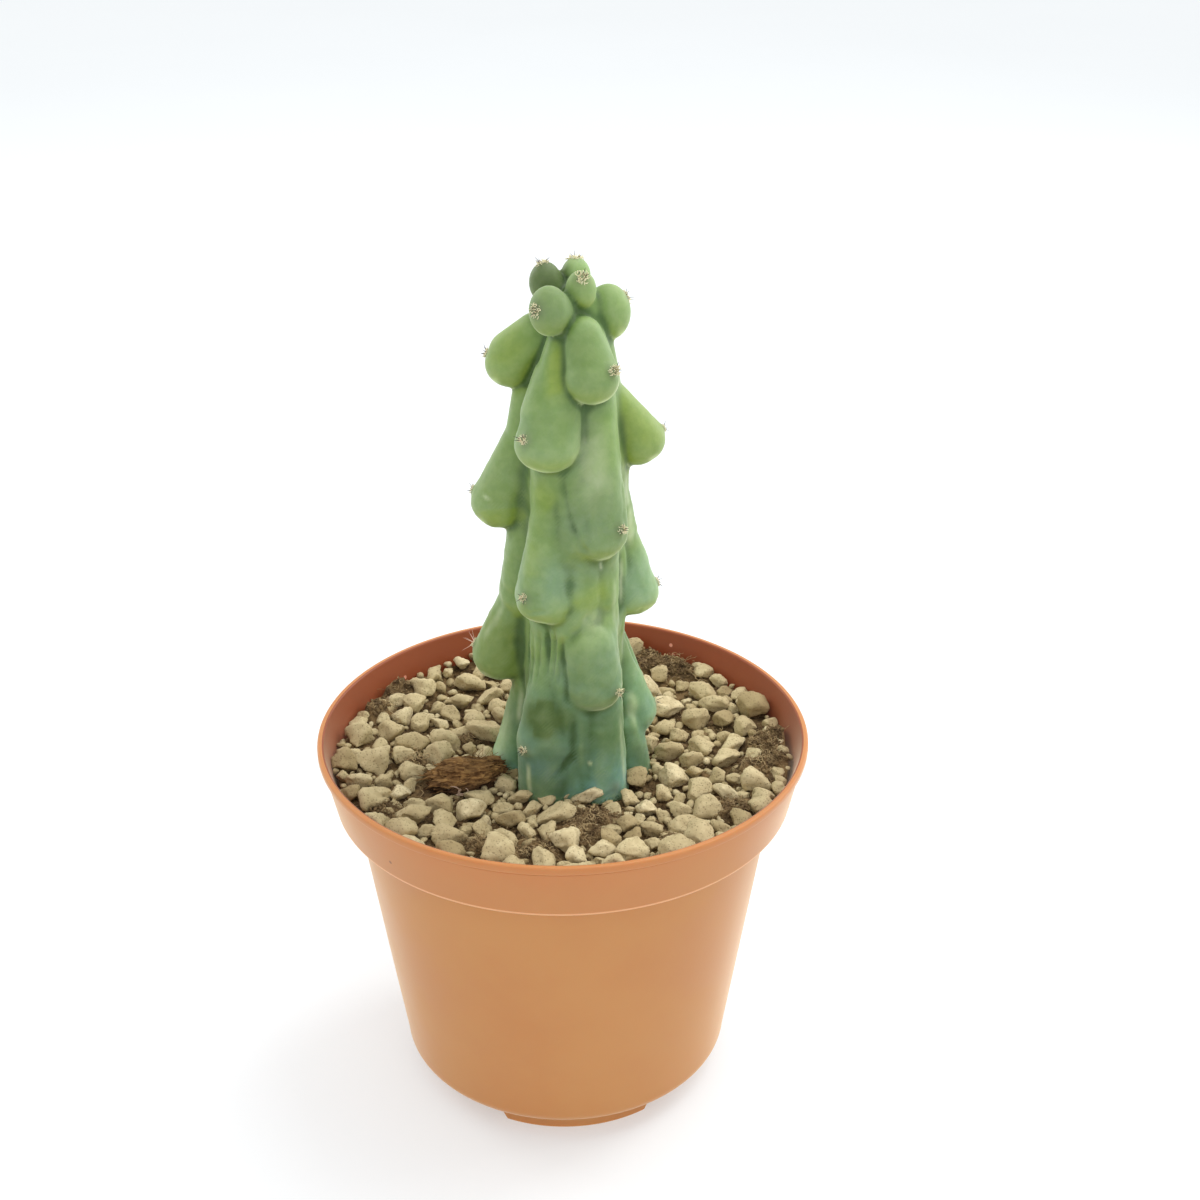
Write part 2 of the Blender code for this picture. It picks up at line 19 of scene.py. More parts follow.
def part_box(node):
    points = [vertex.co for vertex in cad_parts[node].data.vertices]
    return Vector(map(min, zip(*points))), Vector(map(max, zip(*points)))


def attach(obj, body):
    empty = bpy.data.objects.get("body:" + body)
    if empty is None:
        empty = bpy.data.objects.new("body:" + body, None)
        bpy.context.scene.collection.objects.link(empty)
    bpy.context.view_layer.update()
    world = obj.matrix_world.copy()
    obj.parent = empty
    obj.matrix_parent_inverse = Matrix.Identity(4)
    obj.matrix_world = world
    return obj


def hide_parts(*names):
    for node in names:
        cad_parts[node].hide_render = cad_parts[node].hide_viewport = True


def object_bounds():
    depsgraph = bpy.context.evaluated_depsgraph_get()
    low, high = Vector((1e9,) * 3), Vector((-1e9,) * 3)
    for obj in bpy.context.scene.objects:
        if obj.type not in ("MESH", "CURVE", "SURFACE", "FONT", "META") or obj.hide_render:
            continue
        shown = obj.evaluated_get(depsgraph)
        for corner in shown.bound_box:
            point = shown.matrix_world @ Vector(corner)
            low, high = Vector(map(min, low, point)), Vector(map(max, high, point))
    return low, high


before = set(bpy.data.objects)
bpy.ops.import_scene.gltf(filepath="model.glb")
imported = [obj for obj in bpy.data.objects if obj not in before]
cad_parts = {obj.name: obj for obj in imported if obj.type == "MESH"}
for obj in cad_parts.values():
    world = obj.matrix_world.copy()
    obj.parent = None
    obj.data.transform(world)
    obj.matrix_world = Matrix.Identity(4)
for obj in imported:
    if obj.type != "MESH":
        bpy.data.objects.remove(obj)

MM = 0.001
solid_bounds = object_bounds()
print("solids:", sorted(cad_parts))
print("box in mm:", [round(side / MM, 1) for side in solid_bounds[1] - solid_bounds[0]])

# %% [markdown]
# ## Working by hand
# Blender's operators act on whatever is selected, and the loaded solids are selected at first. So each step
# starts by selecting only what it works on. A finished piece has its place in its mesh, not in its object, so
# that its pattern and its export stay where they are.

# %% Small helpers for selecting and finishing
def select_only(*objects):
    """Selects these objects alone; the first is the active one."""
    if bpy.context.mode != "OBJECT":
        bpy.ops.object.mode_set(mode="OBJECT")
    bpy.ops.object.select_all(action="DESELECT")
    for obj in objects:
        obj.select_set(True)
    bpy.context.view_layer.objects.active = objects[0]


def select_faces(obj, wanted):
    """In edit mode, selects the faces for which wanted(middle, normal) is true."""
    bpy.ops.mesh.select_mode(type="FACE")
    bpy.ops.mesh.select_all(action="DESELECT")
    mesh = bmesh.from_edit_mesh(obj.data)
    for face in mesh.faces:
        face.select_set(wanted(face.calc_center_median(), face.normal))
    bmesh.update_edit_mesh(obj.data)


def apply_modifiers(obj):
    select_only(obj)
    for modifier in list(obj.modifiers):
        bpy.ops.object.modifier_apply(modifier=modifier.name)


def join_all(name, objects):
    """Makes one object of many, with its place in its mesh."""
    select_only(*objects)
    if len(objects) > 1:
        bpy.ops.object.join()
    bpy.ops.object.transform_apply(location=True, rotation=True, scale=True)
    whole = bpy.context.object
    whole.name = name
    whole.data.name = name
    return whole


def finish_piece(obj, finish, node):
    """Gives a piece its finish, and lets it stand for its solid."""
    obj.data.materials.clear()
    obj.data.materials.append(finish)
    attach(obj, "root")
    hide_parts(node)
    obj.data.calc_loop_triangles()
    print(obj.name, len(obj.data.loop_triangles), "triangles")


# %% [markdown]
# ## Finishes
# Every finish is a Principled shader fed by noise on the piece's own coordinates. Two effects return in most of
# them: a colour that drifts unevenly into another, and a grainy height for the bump. Each is a node group that
# is made once. Colours are noted as they would be picked in a paint program, and turned to linear light here.

# %% Colour and node helpers
def picked(red, green, blue):
    """A colour picked on a scale of 0 to 255, as linear light."""
    shares = [value / 255.0 for value in (red, green, blue)]
    linear = [share / 12.92 if share <= 0.04045 else ((share + 0.055) / 1.055) ** 2.4 for share in shares]
    return (*linear, 1.0)


def put(tree, kind, inputs=(), **settings):
    """Adds a node. Settings are its properties; inputs are values or the outputs of other nodes."""
    node = tree.nodes.new(kind)
    for key, value in settings.items():
        setattr(node, key, value)
    for key, value in dict(inputs).items():
        if isinstance(value, bpy.types.NodeSocket):
            tree.links.new(value, node.inputs[key])
        else:
            node.inputs[key].default_value = value
    return node


def new_group(name, inputs, outputs):
    """An empty node group with named sockets: (name, kind, start value)."""
    group = bpy.data.node_groups.new(name, "ShaderNodeTree")
    for socket_name, kind, start in inputs:
        socket = group.interface.new_socket(name=socket_name, in_out="INPUT", socket_type=kind)
        if start is not None:
            socket.default_value = start
    for socket_name, kind in outputs:
        group.interface.new_socket(name=socket_name, in_out="OUTPUT", socket_type=kind)
    return group, group.nodes.new("NodeGroupInput"), group.nodes.new("NodeGroupOutput")


def mix_colour(tree, share, first, second, blend="MIX"):
    """Mixes two colours and returns the mixed colour's socket."""
    node = tree.nodes.new("ShaderNodeMix")
    node.data_type = "RGBA"
    node.blend_type = blend
    for index, value in ((0, share), (6, first), (7, second)):
        if isinstance(value, bpy.types.NodeSocket):
            tree.links.new(value, node.inputs[index])
        else:
            node.inputs[index].default_value = value
    return node.outputs[2]


def calc(tree, operation, first, second=0.5, clamp=False):
    """One sum on two numbers."""
    node = put(tree, "ShaderNodeMath", operation=operation, use_clamp=clamp)
    for index, value in enumerate((first, second)):
        if isinstance(value, bpy.types.NodeSocket):
            tree.links.new(value, node.inputs[index])
        else:
            node.inputs[index].default_value = value
    return node.outputs[0]


def spread(tree, value, low, high, start=0.0, end=1.0):
    """Stretches a value's range low..high smoothly to start..end."""
    node = put(tree, "ShaderNodeMapRange", {"Value": value, "From Min": low, "From Max": high,
                                            "To Min": start, "To Max": end}, interpolation_type="SMOOTHSTEP")
    return node.outputs["Result"]


def new_finish(name, roughness, **shader_values):
    """A material with its Principled shader, its node tree and its object coordinates."""
    material = bpy.data.materials.new(name)
    material.use_nodes = True
    tree = material.node_tree
    shader = tree.nodes["Principled BSDF"]
    shader.inputs["Roughness"].default_value = roughness
    for socket, value in shader_values.items():
        shader.inputs[socket.replace("_", " ")].default_value = value
    place = tree.nodes.new("ShaderNodeTexCoord").outputs["Object"]
    return material, tree, shader, place


def feed_bump(tree, shader, height, strength, distance):
    bump = put(tree, "ShaderNodeBump", {"Height": height, "Strength": strength, "Distance": distance})
    tree.links.new(bump.outputs["Normal"], shader.inputs["Normal"])


# %% The two shared effects
def make_drift_group():
    """Lets one colour drift into another in soft, uneven clouds."""
    group, given, result = new_group(
        "uneven colour",
        [("Place", "NodeSocketVector", None), ("Colour", "NodeSocketColor", (1.0, 1.0, 1.0, 1.0)),
         ("Other colour", "NodeSocketColor", (0.5, 0.5, 0.5, 1.0)), ("Scale", "NodeSocketFloat", 100.0),
         ("Share", "NodeSocketFloat", 0.5)],
        [("Colour", "NodeSocketColor"), ("Mask", "NodeSocketFloat")])
    cloud = put(group, "ShaderNodeTexNoise", {"Vector": given.outputs["Place"], "Scale": given.outputs["Scale"],
                                              "Detail": 5.0, "Roughness": 0.6})
    mask = spread(group, cloud.outputs["Fac"], 0.36, 0.64)
    part = calc(group, "MULTIPLY", mask, given.outputs["Share"], clamp=True)
    mixed = mix_colour(group, part, given.outputs["Colour"], given.outputs["Other colour"])
    group.links.new(mixed, result.inputs["Colour"])
    group.links.new(mask, result.inputs["Mask"])
    return group


def make_grain_group():
    """A grainy height: fine noise with small pits in it."""
    group, given, result = new_group(
        "grain and pits",
        [("Place", "NodeSocketVector", None), ("Scale", "NodeSocketFloat", 1000.0),
         ("Pits", "NodeSocketFloat", 0.5)],
        [("Height", "NodeSocketFloat"), ("Pit mask", "NodeSocketFloat")])
    grain = put(group, "ShaderNodeTexNoise", {"Vector": given.outputs["Place"], "Scale": given.outputs["Scale"],
                                              "Detail": 6.0, "Roughness": 0.65})
    cells = put(group, "ShaderNodeTexVoronoi", {"Vector": given.outputs["Place"],
                                                "Scale": given.outputs["Scale"], "Randomness": 1.0})
    pit = spread(group, cells.outputs["Distance"], 0.12, 0.38, 1.0, 0.0)
    sunk = calc(group, "MULTIPLY", pit, given.outputs["Pits"])
    height = calc(group, "SUBTRACT", grain.outputs["Fac"], sunk)
    group.links.new(height, result.inputs["Height"])
    group.links.new(pit, result.inputs["Pit mask"])
    return group


uneven_colour = make_drift_group()
grain_and_pits = make_grain_group()


def drift(tree, place, colour, other, scale, share):
    node = put(tree, "ShaderNodeGroup", node_tree=uneven_colour)
    for key, value in (("Place", place), ("Colour", colour), ("Other colour", other), ("Scale", scale),
                       ("Share", share)):
        if isinstance(value, bpy.types.NodeSocket):
            tree.links.new(value, node.inputs[key])
        else:
            node.inputs[key].default_value = value
    return node


def grain(tree, place, scale, pits):
    node = put(tree, "ShaderNodeGroup", node_tree=grain_and_pits)
    tree.links.new(place, node.inputs["Place"])
    node.inputs["Scale"].default_value = scale
    node.inputs["Pits"].default_value = pits
    return node


print("shared effects:", uneven_colour.name, "and", grain_and_pits.name)

# %% [markdown]
# ## The nursery pot
# Such a pot is injection moulded from thin plastic: a tapered body, a deeper collar with a beaded lip that
# stiffens the mouth, and a ring under the floor that is broken into three feet so that water can run off.
# It could be turned from a drawn profile, but drawing it up ring by ring from a circle keeps every ring in
# hand: the band of faces that becomes the feet is simply pulled down afterwards.

# %% Sizes of the pot
pot_low, pot_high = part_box("pot")
RIM_RADIUS = (pot_high.x - pot_low.x) / 2.0
POT_HEIGHT = pot_high.z
POT_SIDES = 192
WALL = 1.4 * MM
LIP_DEPTH = 2.3 * MM
COLLAR_FOOT_Z = 80.1 * MM
COLLAR_FOOT_RADIUS = 56.4 * MM
BODY_TOP_RADIUS = 51.9 * MM
BODY_FOOT_RADIUS = 41.6 * MM
BODY_FOOT_Z = 9.8 * MM
UNDERSIDE_Z = 6.0 * MM
FOOT_OUTER_RADIUS = 35.6 * MM
FOOT_INNER_RADIUS = 32.4 * MM
FOOT_CENTRES_DEG = (5.0, 125.0, 245.0)     # counted from the front (-Y) towards +X
FOOT_HALF_SPAN_DEG = 32.0
print("rim", round(RIM_RADIUS / MM, 1), "mm, height", round(POT_HEIGHT / MM, 1), "mm")


# %% Draw a turned shape ring by ring
def draw_rings(name, outline, sides):
    """A closed turned shape: a disc, pulled and scaled ring by ring along the outline, and closed again."""
    radius, z = outline[0]
    bpy.ops.object.select_all(action="DESELECT")
    bpy.ops.mesh.primitive_circle_add(vertices=sides, radius=radius, fill_type="TRIFAN", location=(0.0, 0.0, z))
    bpy.ops.object.transform_apply(location=True)
    piece = bpy.context.object
    piece.name = name
    bpy.ops.object.mode_set(mode="EDIT")
    bpy.ops.mesh.select_mode(type="EDGE")
    bpy.ops.mesh.select_all(action="DESELECT")
    bpy.ops.mesh.select_non_manifold()
    for next_radius, next_z in outline[1:]:
        bpy.ops.mesh.extrude_region_move(TRANSFORM_OT_translate={"value": (0.0, 0.0, next_z - z)})
        size = next_radius / radius
        bpy.ops.transform.resize(value=(size, size, 1.0), center_override=(0.0, 0.0, next_z))
        radius, z = next_radius, next_z
    bpy.ops.mesh.extrude_region_move()
    bpy.ops.mesh.merge(type="CENTER")
    bpy.ops.mesh.select_all(action="SELECT")
    bpy.ops.mesh.normals_make_consistent(inside=False)
    bpy.ops.object.mode_set(mode="OBJECT")
    return piece


def round_corner(radius, z, size, start_deg, end_deg, steps=4):
    """Points on an arc about (radius, z), for a rounded edge in an outline."""
    points = []
    for step in range(steps + 1):
        angle = math.radians(start_deg + (end_deg - start_deg) * step / steps)
        points.append((radius + size * math.cos(angle), z + size * math.sin(angle)))
    return points


def collar_radius(z):
    """The outer radius of the tapered collar at height z."""
    share = (z - COLLAR_FOOT_Z) / (POT_HEIGHT - COLLAR_FOOT_Z)
    return COLLAR_FOOT_RADIUS + share * (RIM_RADIUS - 0.5 * MM - COLLAR_FOOT_RADIUS)


def pot_outline():
    """From the middle of the inner floor up the inside, over the lip and down the outside."""
    floor_z = UNDERSIDE_Z + WALL
    ledge_z = COLLAR_FOOT_Z + WALL
    lip_z = POT_HEIGHT - LIP_DEPTH
    bead = 0.55 * MM
    inside = [(24.0 * MM, floor_z), (BODY_FOOT_RADIUS - 3.4 * MM, floor_z),
              (BODY_FOOT_RADIUS - WALL, BODY_FOOT_Z + 0.6 * MM),
              (BODY_TOP_RADIUS - WALL, ledge_z - 0.5 * MM), (collar_radius(ledge_z) - WALL, ledge_z),
              (collar_radius(lip_z) - WALL, lip_z)]
    lip = round_corner(RIM_RADIUS - 1.1 * MM, POT_HEIGHT - bead, bead, 180.0, 90.0)
    lip += round_corner(RIM_RADIUS - bead, POT_HEIGHT - bead, bead, 90.0, 0.0)
    lip += [(RIM_RADIUS, lip_z + 0.75 * MM), (RIM_RADIUS - 0.18 * MM, lip_z + 0.42 * MM)]
    lip += [(collar_radius(lip_z) - 0.28 * MM, lip_z + 0.16 * MM), (collar_radius(lip_z) - 0.3 * MM, lip_z)]
    collar_top = lip_z - 0.35 * MM
    collar = [(collar_radius(collar_top), collar_top), (collar_radius(88.0 * MM), 88.0 * MM)]
    collar += round_corner(COLLAR_FOOT_RADIUS - 0.5 * MM, COLLAR_FOOT_Z + 0.5 * MM, 0.5 * MM, 0.0, -90.0)
    body = [(BODY_TOP_RADIUS + 0.5 * MM, COLLAR_FOOT_Z), (BODY_TOP_RADIUS, COLLAR_FOOT_Z - 0.5 * MM)]
    for share in (0.75, 0.5, 0.25):
        body.append((BODY_FOOT_RADIUS + share * (BODY_TOP_RADIUS - BODY_FOOT_RADIUS),
                     BODY_FOOT_Z + share * (COLLAR_FOOT_Z - BODY_FOOT_Z)))
    turn = 3.8 * MM
    body += round_corner(BODY_FOOT_RADIUS - turn, UNDERSIDE_Z + turn, turn, 5.0, -90.0, 8)
    under = [(FOOT_OUTER_RADIUS, UNDERSIDE_Z), (FOOT_INNER_RADIUS, UNDERSIDE_Z), (26.0 * MM, UNDERSIDE_Z),
             (3.0 * MM, UNDERSIDE_Z), (2.6 * MM, UNDERSIDE_Z - 0.4 * MM)]
    return inside + lip + collar + body + under


pot = draw_rings("nursery_pot", pot_outline(), POT_SIDES)
print("pot drawn with", len(pot.data.vertices), "points")


# %% [markdown]
# The feet are pulled down out of the ring of faces under the floor, in three spans. Their ends slant, so each
# end is turned a little towards the middle of its foot after the pull. The last 2.3 mm are drawn in, which
# leaves the fine line that runs round just above the table.

# %% Pull down the three feet
def bearing_deg(point):
    """The azimuth of a point, from the front (-Y) towards +X."""
    return math.degrees(math.atan2(point.x, -point.y))


def off_foot(point, centre_deg):
    """How far round a point lies from the middle of a foot, in degrees, with its sign."""
    return (bearing_deg(point) - centre_deg + 180.0) % 360.0 - 180.0


def in_foot(middle, normal):
    radius = math.hypot(middle.x, middle.y)
    on_ring = FOOT_INNER_RADIUS < radius < FOOT_OUTER_RADIUS and abs(middle.z - UNDERSIDE_Z) < 0.1 * MM
    return on_ring and normal.z < -0.9 and any(abs(off_foot(middle, c)) < FOOT_HALF_SPAN_DEG
                                               for c in FOOT_CENTRES_DEG)


FOOT_LINE_Z = 2.3 * MM
END_SLANT_DEG = 2.2
select_only(pot)
bpy.ops.object.mode_set(mode="EDIT")
select_faces(pot, in_foot)
for drop, inwards in ((0.8 * MM, 1.0), (UNDERSIDE_Z - 0.8 * MM - FOOT_LINE_Z, 0.998), (0.0, 0.9925),
                      (FOOT_LINE_Z, 0.996)):
    bpy.ops.mesh.extrude_region_move(TRANSFORM_OT_translate={"value": (0.0, 0.0, -drop)})
    bpy.ops.transform.resize(value=(inwards, inwards, 1.0), center_override=(0.0, 0.0, 0.0))
for centre_deg in FOOT_CENTRES_DEG:
    for side in (-1.0, 1.0):
        bpy.ops.mesh.select_mode(type="VERT")
        bpy.ops.mesh.select_all(action="DESELECT")
        mesh = bmesh.from_edit_mesh(pot.data)
        for vert in mesh.verts:
            away = off_foot(vert.co, centre_deg) * side
            vert.select_set(vert.co.z < 0.5 * MM and away > FOOT_HALF_SPAN_DEG - 4.0 and away < 60.0)
        bmesh.update_edit_mesh(pot.data)
        bpy.ops.transform.rotate(value=side * math.radians(END_SLANT_DEG), orient_axis="Z",
                                 center_override=(0.0, 0.0, 0.0))
bpy.ops.object.mode_set(mode="OBJECT")
foot_verts = [vert.co for vert in pot.data.vertices if vert.co.z < 0.1 * MM]
print("points on the floor:", len(foot_verts), "lowest", round(min(v.z for v in foot_verts) / MM, 3), "mm")

# %% [markdown]
# Six round holes drain the floor of the pot. They cut through two skins at once, which is a job for the Boolean
# modifier. A fine bevel then takes the sharpness off every moulded edge that is still square.

# %% Drain holes and soft edges
DRAIN_HOLES = 6
DRAIN_RADIUS = 4.0 * MM
DRAIN_CIRCLE = 20.0 * MM
DRAIN_FIRST_DEG = 34.0
for index in range(DRAIN_HOLES):
    bearing = math.radians(DRAIN_FIRST_DEG + index * 360.0 / DRAIN_HOLES)
    bpy.ops.object.select_all(action="DESELECT")
    bpy.ops.mesh.primitive_cylinder_add(
        vertices=40, radius=DRAIN_RADIUS, depth=6.0 * MM,
        location=(DRAIN_CIRCLE * math.sin(bearing), -DRAIN_CIRCLE * math.cos(bearing), UNDERSIDE_Z))
    drill = bpy.context.object
    cut = pot.modifiers.new("drain", "BOOLEAN")
    cut.operation = "DIFFERENCE"
    cut.object = drill
    apply_modifiers(pot)
    bpy.data.objects.remove(drill, do_unlink=True)
soften = pot.modifiers.new("moulded edges", "BEVEL")
soften.width = 0.22 * MM
soften.segments = 2
soften.limit_method = "ANGLE"
soften.angle_limit = math.radians(50.0)
apply_modifiers(pot)
bpy.ops.object.shade_smooth_by_angle(angle=math.radians(35.0))
print("pot finished with", len(pot.data.polygons), "faces")

# %% [markdown]
# The plastic is matte, a little translucent and the colour of fired clay. It glows paler and yellower towards
# its outline, which a little sheen gives, and light that enters it comes out again nearby, which is
# subsurface scattering. Fine flow marks and a few specks of dirt keep it from looking like paint.

# %% The pot's plastic
POT_CLAY = picked(190, 128, 72)
POT_PALE = picked(198, 145, 88)
POT_DIRT = picked(120, 78, 48)
# The inside wall is the same plastic; its darker, redder colour is painted shade.
INSIDE_PAINTED_SHADE = picked(125, 54, 29)
SPECK_PLACES_MM = ((-38.8, -42.2, 84.9), (6.7, -34.7, 8.0), (31.4, -38.3, 50.0), (-20.2, -43.2, 44.0))
# A pale line round the collar's rounded lower edge is a painted highlight.
EDGE_HIGHLIGHT_Z = 80.45 * MM
CRUMB_PLACES_MM = ((28.2, 50.0, 92.0), (28.8, 49.1, 89.5), (30.7, 47.7, 88.4), (-42.6, 37.6, 89.0))


def spots(tree, place, centres_mm, radius):
    """A mask that is 1 within small spots round these points."""
    mask = None
    for centre in centres_mm:
        away = put(tree, "ShaderNodeVectorMath", {1: tuple(value * MM for value in centre)}, operation="DISTANCE")
        tree.links.new(place, away.inputs[0])
        spot = spread(tree, away.outputs["Value"], 0.6 * radius, radius, 1.0, 0.0)
        mask = spot if mask is None else calc(tree, "MAXIMUM", mask, spot)
    return mask


def make_plastic():
    material, tree, shader, place = new_finish(
        "moulded clay-coloured plastic", 0.46, Subsurface_Weight=0.22, Subsurface_Scale=4.0 * MM,
        Subsurface_Radius=(1.0, 0.45, 0.2), Sheen_Weight=0.75, Sheen_Roughness=0.3,
        Sheen_Tint=(1.0, 0.85, 0.64, 1.0), Specular_IOR_Level=0.35)
    clouds = drift(tree, place, POT_CLAY, POT_PALE, 28.0, 0.35)
    parts = put(tree, "ShaderNodeSeparateXYZ", {"Vector": place})
    outwards = put(tree, "ShaderNodeVectorMath", {0: place, 1: (1.0, 1.0, 0.0)}, operation="MULTIPLY")
    facing = put(tree, "ShaderNodeVectorMath", operation="DOT_PRODUCT")
    tree.links.new(outwards.outputs["Vector"], facing.inputs[0])
    normal = tree.nodes.new("ShaderNodeNewGeometry").outputs["Normal"]
    tree.links.new(normal, facing.inputs[1])
    # Faces that look inwards get that darker colour: painted shade inside the pot.
    inner = calc(tree, "LESS_THAN", facing.outputs["Value"], -0.01)
    colour = mix_colour(tree, inner, clouds.outputs["Colour"], INSIDE_PAINTED_SHADE)
    colour = mix_colour(tree, spots(tree, place, SPECK_PLACES_MM, 0.55 * MM), colour, POT_DIRT)
    colour = mix_colour(tree, spots(tree, place, CRUMB_PLACES_MM, 0.62 * MM), colour, picked(232, 170, 146))
    collar = spread(tree, parts.outputs["Z"], COLLAR_FOOT_Z - 0.2 * MM, COLLAR_FOOT_Z + 0.2 * MM)
    colour = mix_colour(tree, calc(tree, "MULTIPLY", collar, 0.25), colour, picked(188, 116, 70))
    # Painted highlight: a pale band along the collar's rounded lower edge.
    edge_highlight = put(tree, "ShaderNodeMath", {0: parts.outputs["Z"], 1: EDGE_HIGHLIGHT_Z, 2: 0.35 * MM}, operation="COMPARE")
    colour = mix_colour(tree, calc(tree, "MULTIPLY", edge_highlight.outputs[0], 0.6), colour, picked(238, 180, 134))
    tree.links.new(colour, shader.inputs["Base Color"])
    skin = grain(tree, place, 900.0, 0.15)
    feed_bump(tree, shader, skin.outputs["Height"], 0.12, 0.1 * MM)
    rough = spread(tree, clouds.outputs["Mask"], 0.0, 1.0, 0.42, 0.52)
    tree.links.new(rough, shader.inputs["Roughness"])
    return material


finish_piece(pot, make_plastic(), "pot")

# %% [markdown]
# ## The stem
# The plant grows as one body: five ribs round a core, and on the ribs the tubercles, each a teardrop that
# hangs from a narrow neck and carries a spine cushion, the areole, on its outside. Sculpting it freely would
# lose the measured places. So each form is a taut skin round two balls, and all the skins then grow together
# in a fine voxel remesh. The rows repeat the solid model's values.

# %% Places of ribs and tubercles
SOIL_TOP_Z = 84.0 * MM
AXIS_TOP_Z = 203.0 * MM
LEAN_AT_SOIL = 2.0 * MM
LEAN_AT_TOP = 4.2 * MM
# Height and radius of the core between the ribs, in mm.
CORE = ((80.0, 13.5), (106.0, 12.0), (168.0, 11.5), (186.0, 9.0), (203.0, 5.5))
# Azimuth and reach of each grown rib, in degrees and mm.
RIBS = ((-30.0, 14.6), (32.0, 14.4), (105.0, 12.5), (180.0, 14.0), (-102.0, 15.2))
RIB_RADIUS = 5.8 * MM
# Each tubercle: its areole's azimuth, height and reach, how far it looks up, its width, how far to the side of
# the areole it hangs, and how high above the areole its neck starts, in widths. Lengths in mm, angles in degrees.
TUBERCLES = (
    (-38.0, 206.0, 15.0, 15.0, 9.4, 2.0, 1.35),
    (-34.0, 178.6, 21.0, 24.0, 15.4, 7.0, 1.35),
    (-34.0, 139.6, 21.0, 14.0, 15.6, 7.0, 1.35),
    (-34.0, 99.5, 20.8, 4.0, 15.2, 7.0, 1.35),
    (10.0, 211.2, 5.0, 65.0, 7.2, 0.0, 1.35),
    (30.0, 193.6, 17.0, 30.0, 12.8, -13.0, 1.35),
    (36.0, 156.0, 18.9, 20.0, 16.0, -13.0, 1.35),
    (34.0, 115.0, 20.6, 2.0, 15.0, -13.0, 1.2),
    (34.0, 88.0, 19.0, 30.0, 15.0, 0.0, 1.35),
    (105.0, 204.6, 11.2, 38.0, 10.8, 0.0, 1.35),
    (105.0, 172.5, 21.2, 16.0, 14.8, 0.0, 0.68),
    (105.0, 133.2, 21.0, 16.0, 14.0, 0.0, 1.5),
    (105.0, 100.3, 21.5, 14.0, 15.0, 0.0, 1.35),
    (188.0, 212.2, 5.0, 78.0, 7.0, 0.0, 1.35),
    (180.0, 186.0, 19.5, 20.0, 13.5, 0.0, 1.35),
    (180.0, 148.0, 22.5, 20.0, 15.5, 0.0, 1.35),
    (180.0, 109.0, 22.5, 20.0, 15.5, 0.0, 1.35),
    (-105.0, 211.8, 8.2, 80.0, 7.8, 0.0, 1.35),
    (-102.0, 191.0, 21.2, 20.0, 12.6, 0.0, 1.35),
    (-102.0, 157.4, 25.0, 18.0, 15.5, 0.0, 1.35),
    (-102.0, 116.8, 25.0, 18.0, 15.5, 0.0, 1.35),
    (-102.0, 86.0, 20.5, 30.0, 15.0, 0.0, 1.35),
)

# Old growth that has filled the furrows in front, full shoulders, and the swollen foot. Each is a body between
# two balls: azimuth, height, reach and radius of both, in degrees and mm.
FILLS = (
    (10.0, 199.0, 11.8, 4.2, 17.0, 190.4, 17.0, 6.0),
    (14.0, 163.0, 16.2, 5.4, 15.0, 155.0, 16.6, 5.2),
    (2.0, 173.0, 13.0, 6.2, 2.0, 152.0, 16.4, 6.4),
    (2.0, 152.0, 16.4, 6.4, 0.0, 132.0, 16.6, 6.6),
    (0.0, 132.0, 16.6, 6.6, 2.0, 84.0, 17.2, 7.0),
    (15.0, 125.4, 19.2, 7.0, 18.0, 116.5, 20.2, 7.2),
    (-27.0, 100.0, 20.2, 7.4, -28.0, 84.0, 19.6, 7.0),
    (32.0, 110.0, 16.8, 6.6, 34.0, 84.0, 19.0, 7.0),
    (92.0, 97.0, 17.5, 6.2, 86.0, 84.0, 19.8, 6.2),
    (-102.0, 191.2, 20.4, 5.2, -102.0, 196.8, 14.0, 4.2),
    (-40.0, 189.0, 12.8, 4.4, -32.0, 181.5, 18.2, 6.0),
    (-100.0, 181.5, 14.9, 4.8, -101.0, 172.0, 16.6, 5.4),
    (-100.0, 147.0, 16.3, 6.0, -101.0, 132.0, 18.2, 6.4),
    (104.0, 157.0, 12.9, 4.6, 104.0, 148.0, 15.2, 4.8),
)


def front_polar(radius, azimuth_deg, z=0.0):
    """A point at an azimuth from the front (-Y) towards the right (+X)."""
    azimuth = math.radians(azimuth_deg)
    return Vector((radius * math.sin(azimuth), -radius * math.cos(azimuth), z))


def blend(start, end, share):
    """A smooth step from start to end."""
    share = min(1.0, max(0.0, share))
    return start + (end - start) * share * share * (3.0 - 2.0 * share)


def stem_axis(z):
    share = (z - SOIL_TOP_Z) / (AXIS_TOP_Z - SOIL_TOP_Z)
    return Vector((LEAN_AT_SOIL + share * (LEAN_AT_TOP - LEAN_AT_SOIL), 0.0, z))


def on_rib(azimuth_deg, reach, z):
    return stem_axis(z) + front_polar(reach, azimuth_deg)


def rib_reach(grown_reach, z):
    """How far a rib stands from the axis at height z: flared at the foot, drawn in at the apex."""
    flare_z, grown_z = 106.0 * MM, 168.0 * MM
    if z < flare_z:
        return grown_reach + 2.6 * MM * (flare_z - z) / (26.0 * MM)
    return blend(grown_reach, 7.5 * MM, (z - grown_z) / (AXIS_TOP_Z - grown_z))


print(len(RIBS), "ribs and", len(TUBERCLES), "tubercles")


# %% Balls and skins
def add_ball(centre, radii, turn=0.0):
    bpy.ops.object.select_all(action="DESELECT")
    bpy.ops.mesh.primitive_uv_sphere_add(segments=28, ring_count=18, radius=1.0, location=centre,
                                         rotation=(0.0, 0.0, turn), scale=radii)
    return bpy.context.object


def stretch_skin(*balls):
    """Joins some balls and stretches one taut skin round them."""
    body = join_all("skin", balls)
    bpy.ops.object.mode_set(mode="EDIT")
    bpy.ops.mesh.select_all(action="SELECT")
    bpy.ops.mesh.convex_hull()
    bpy.ops.object.mode_set(mode="OBJECT")
    return body


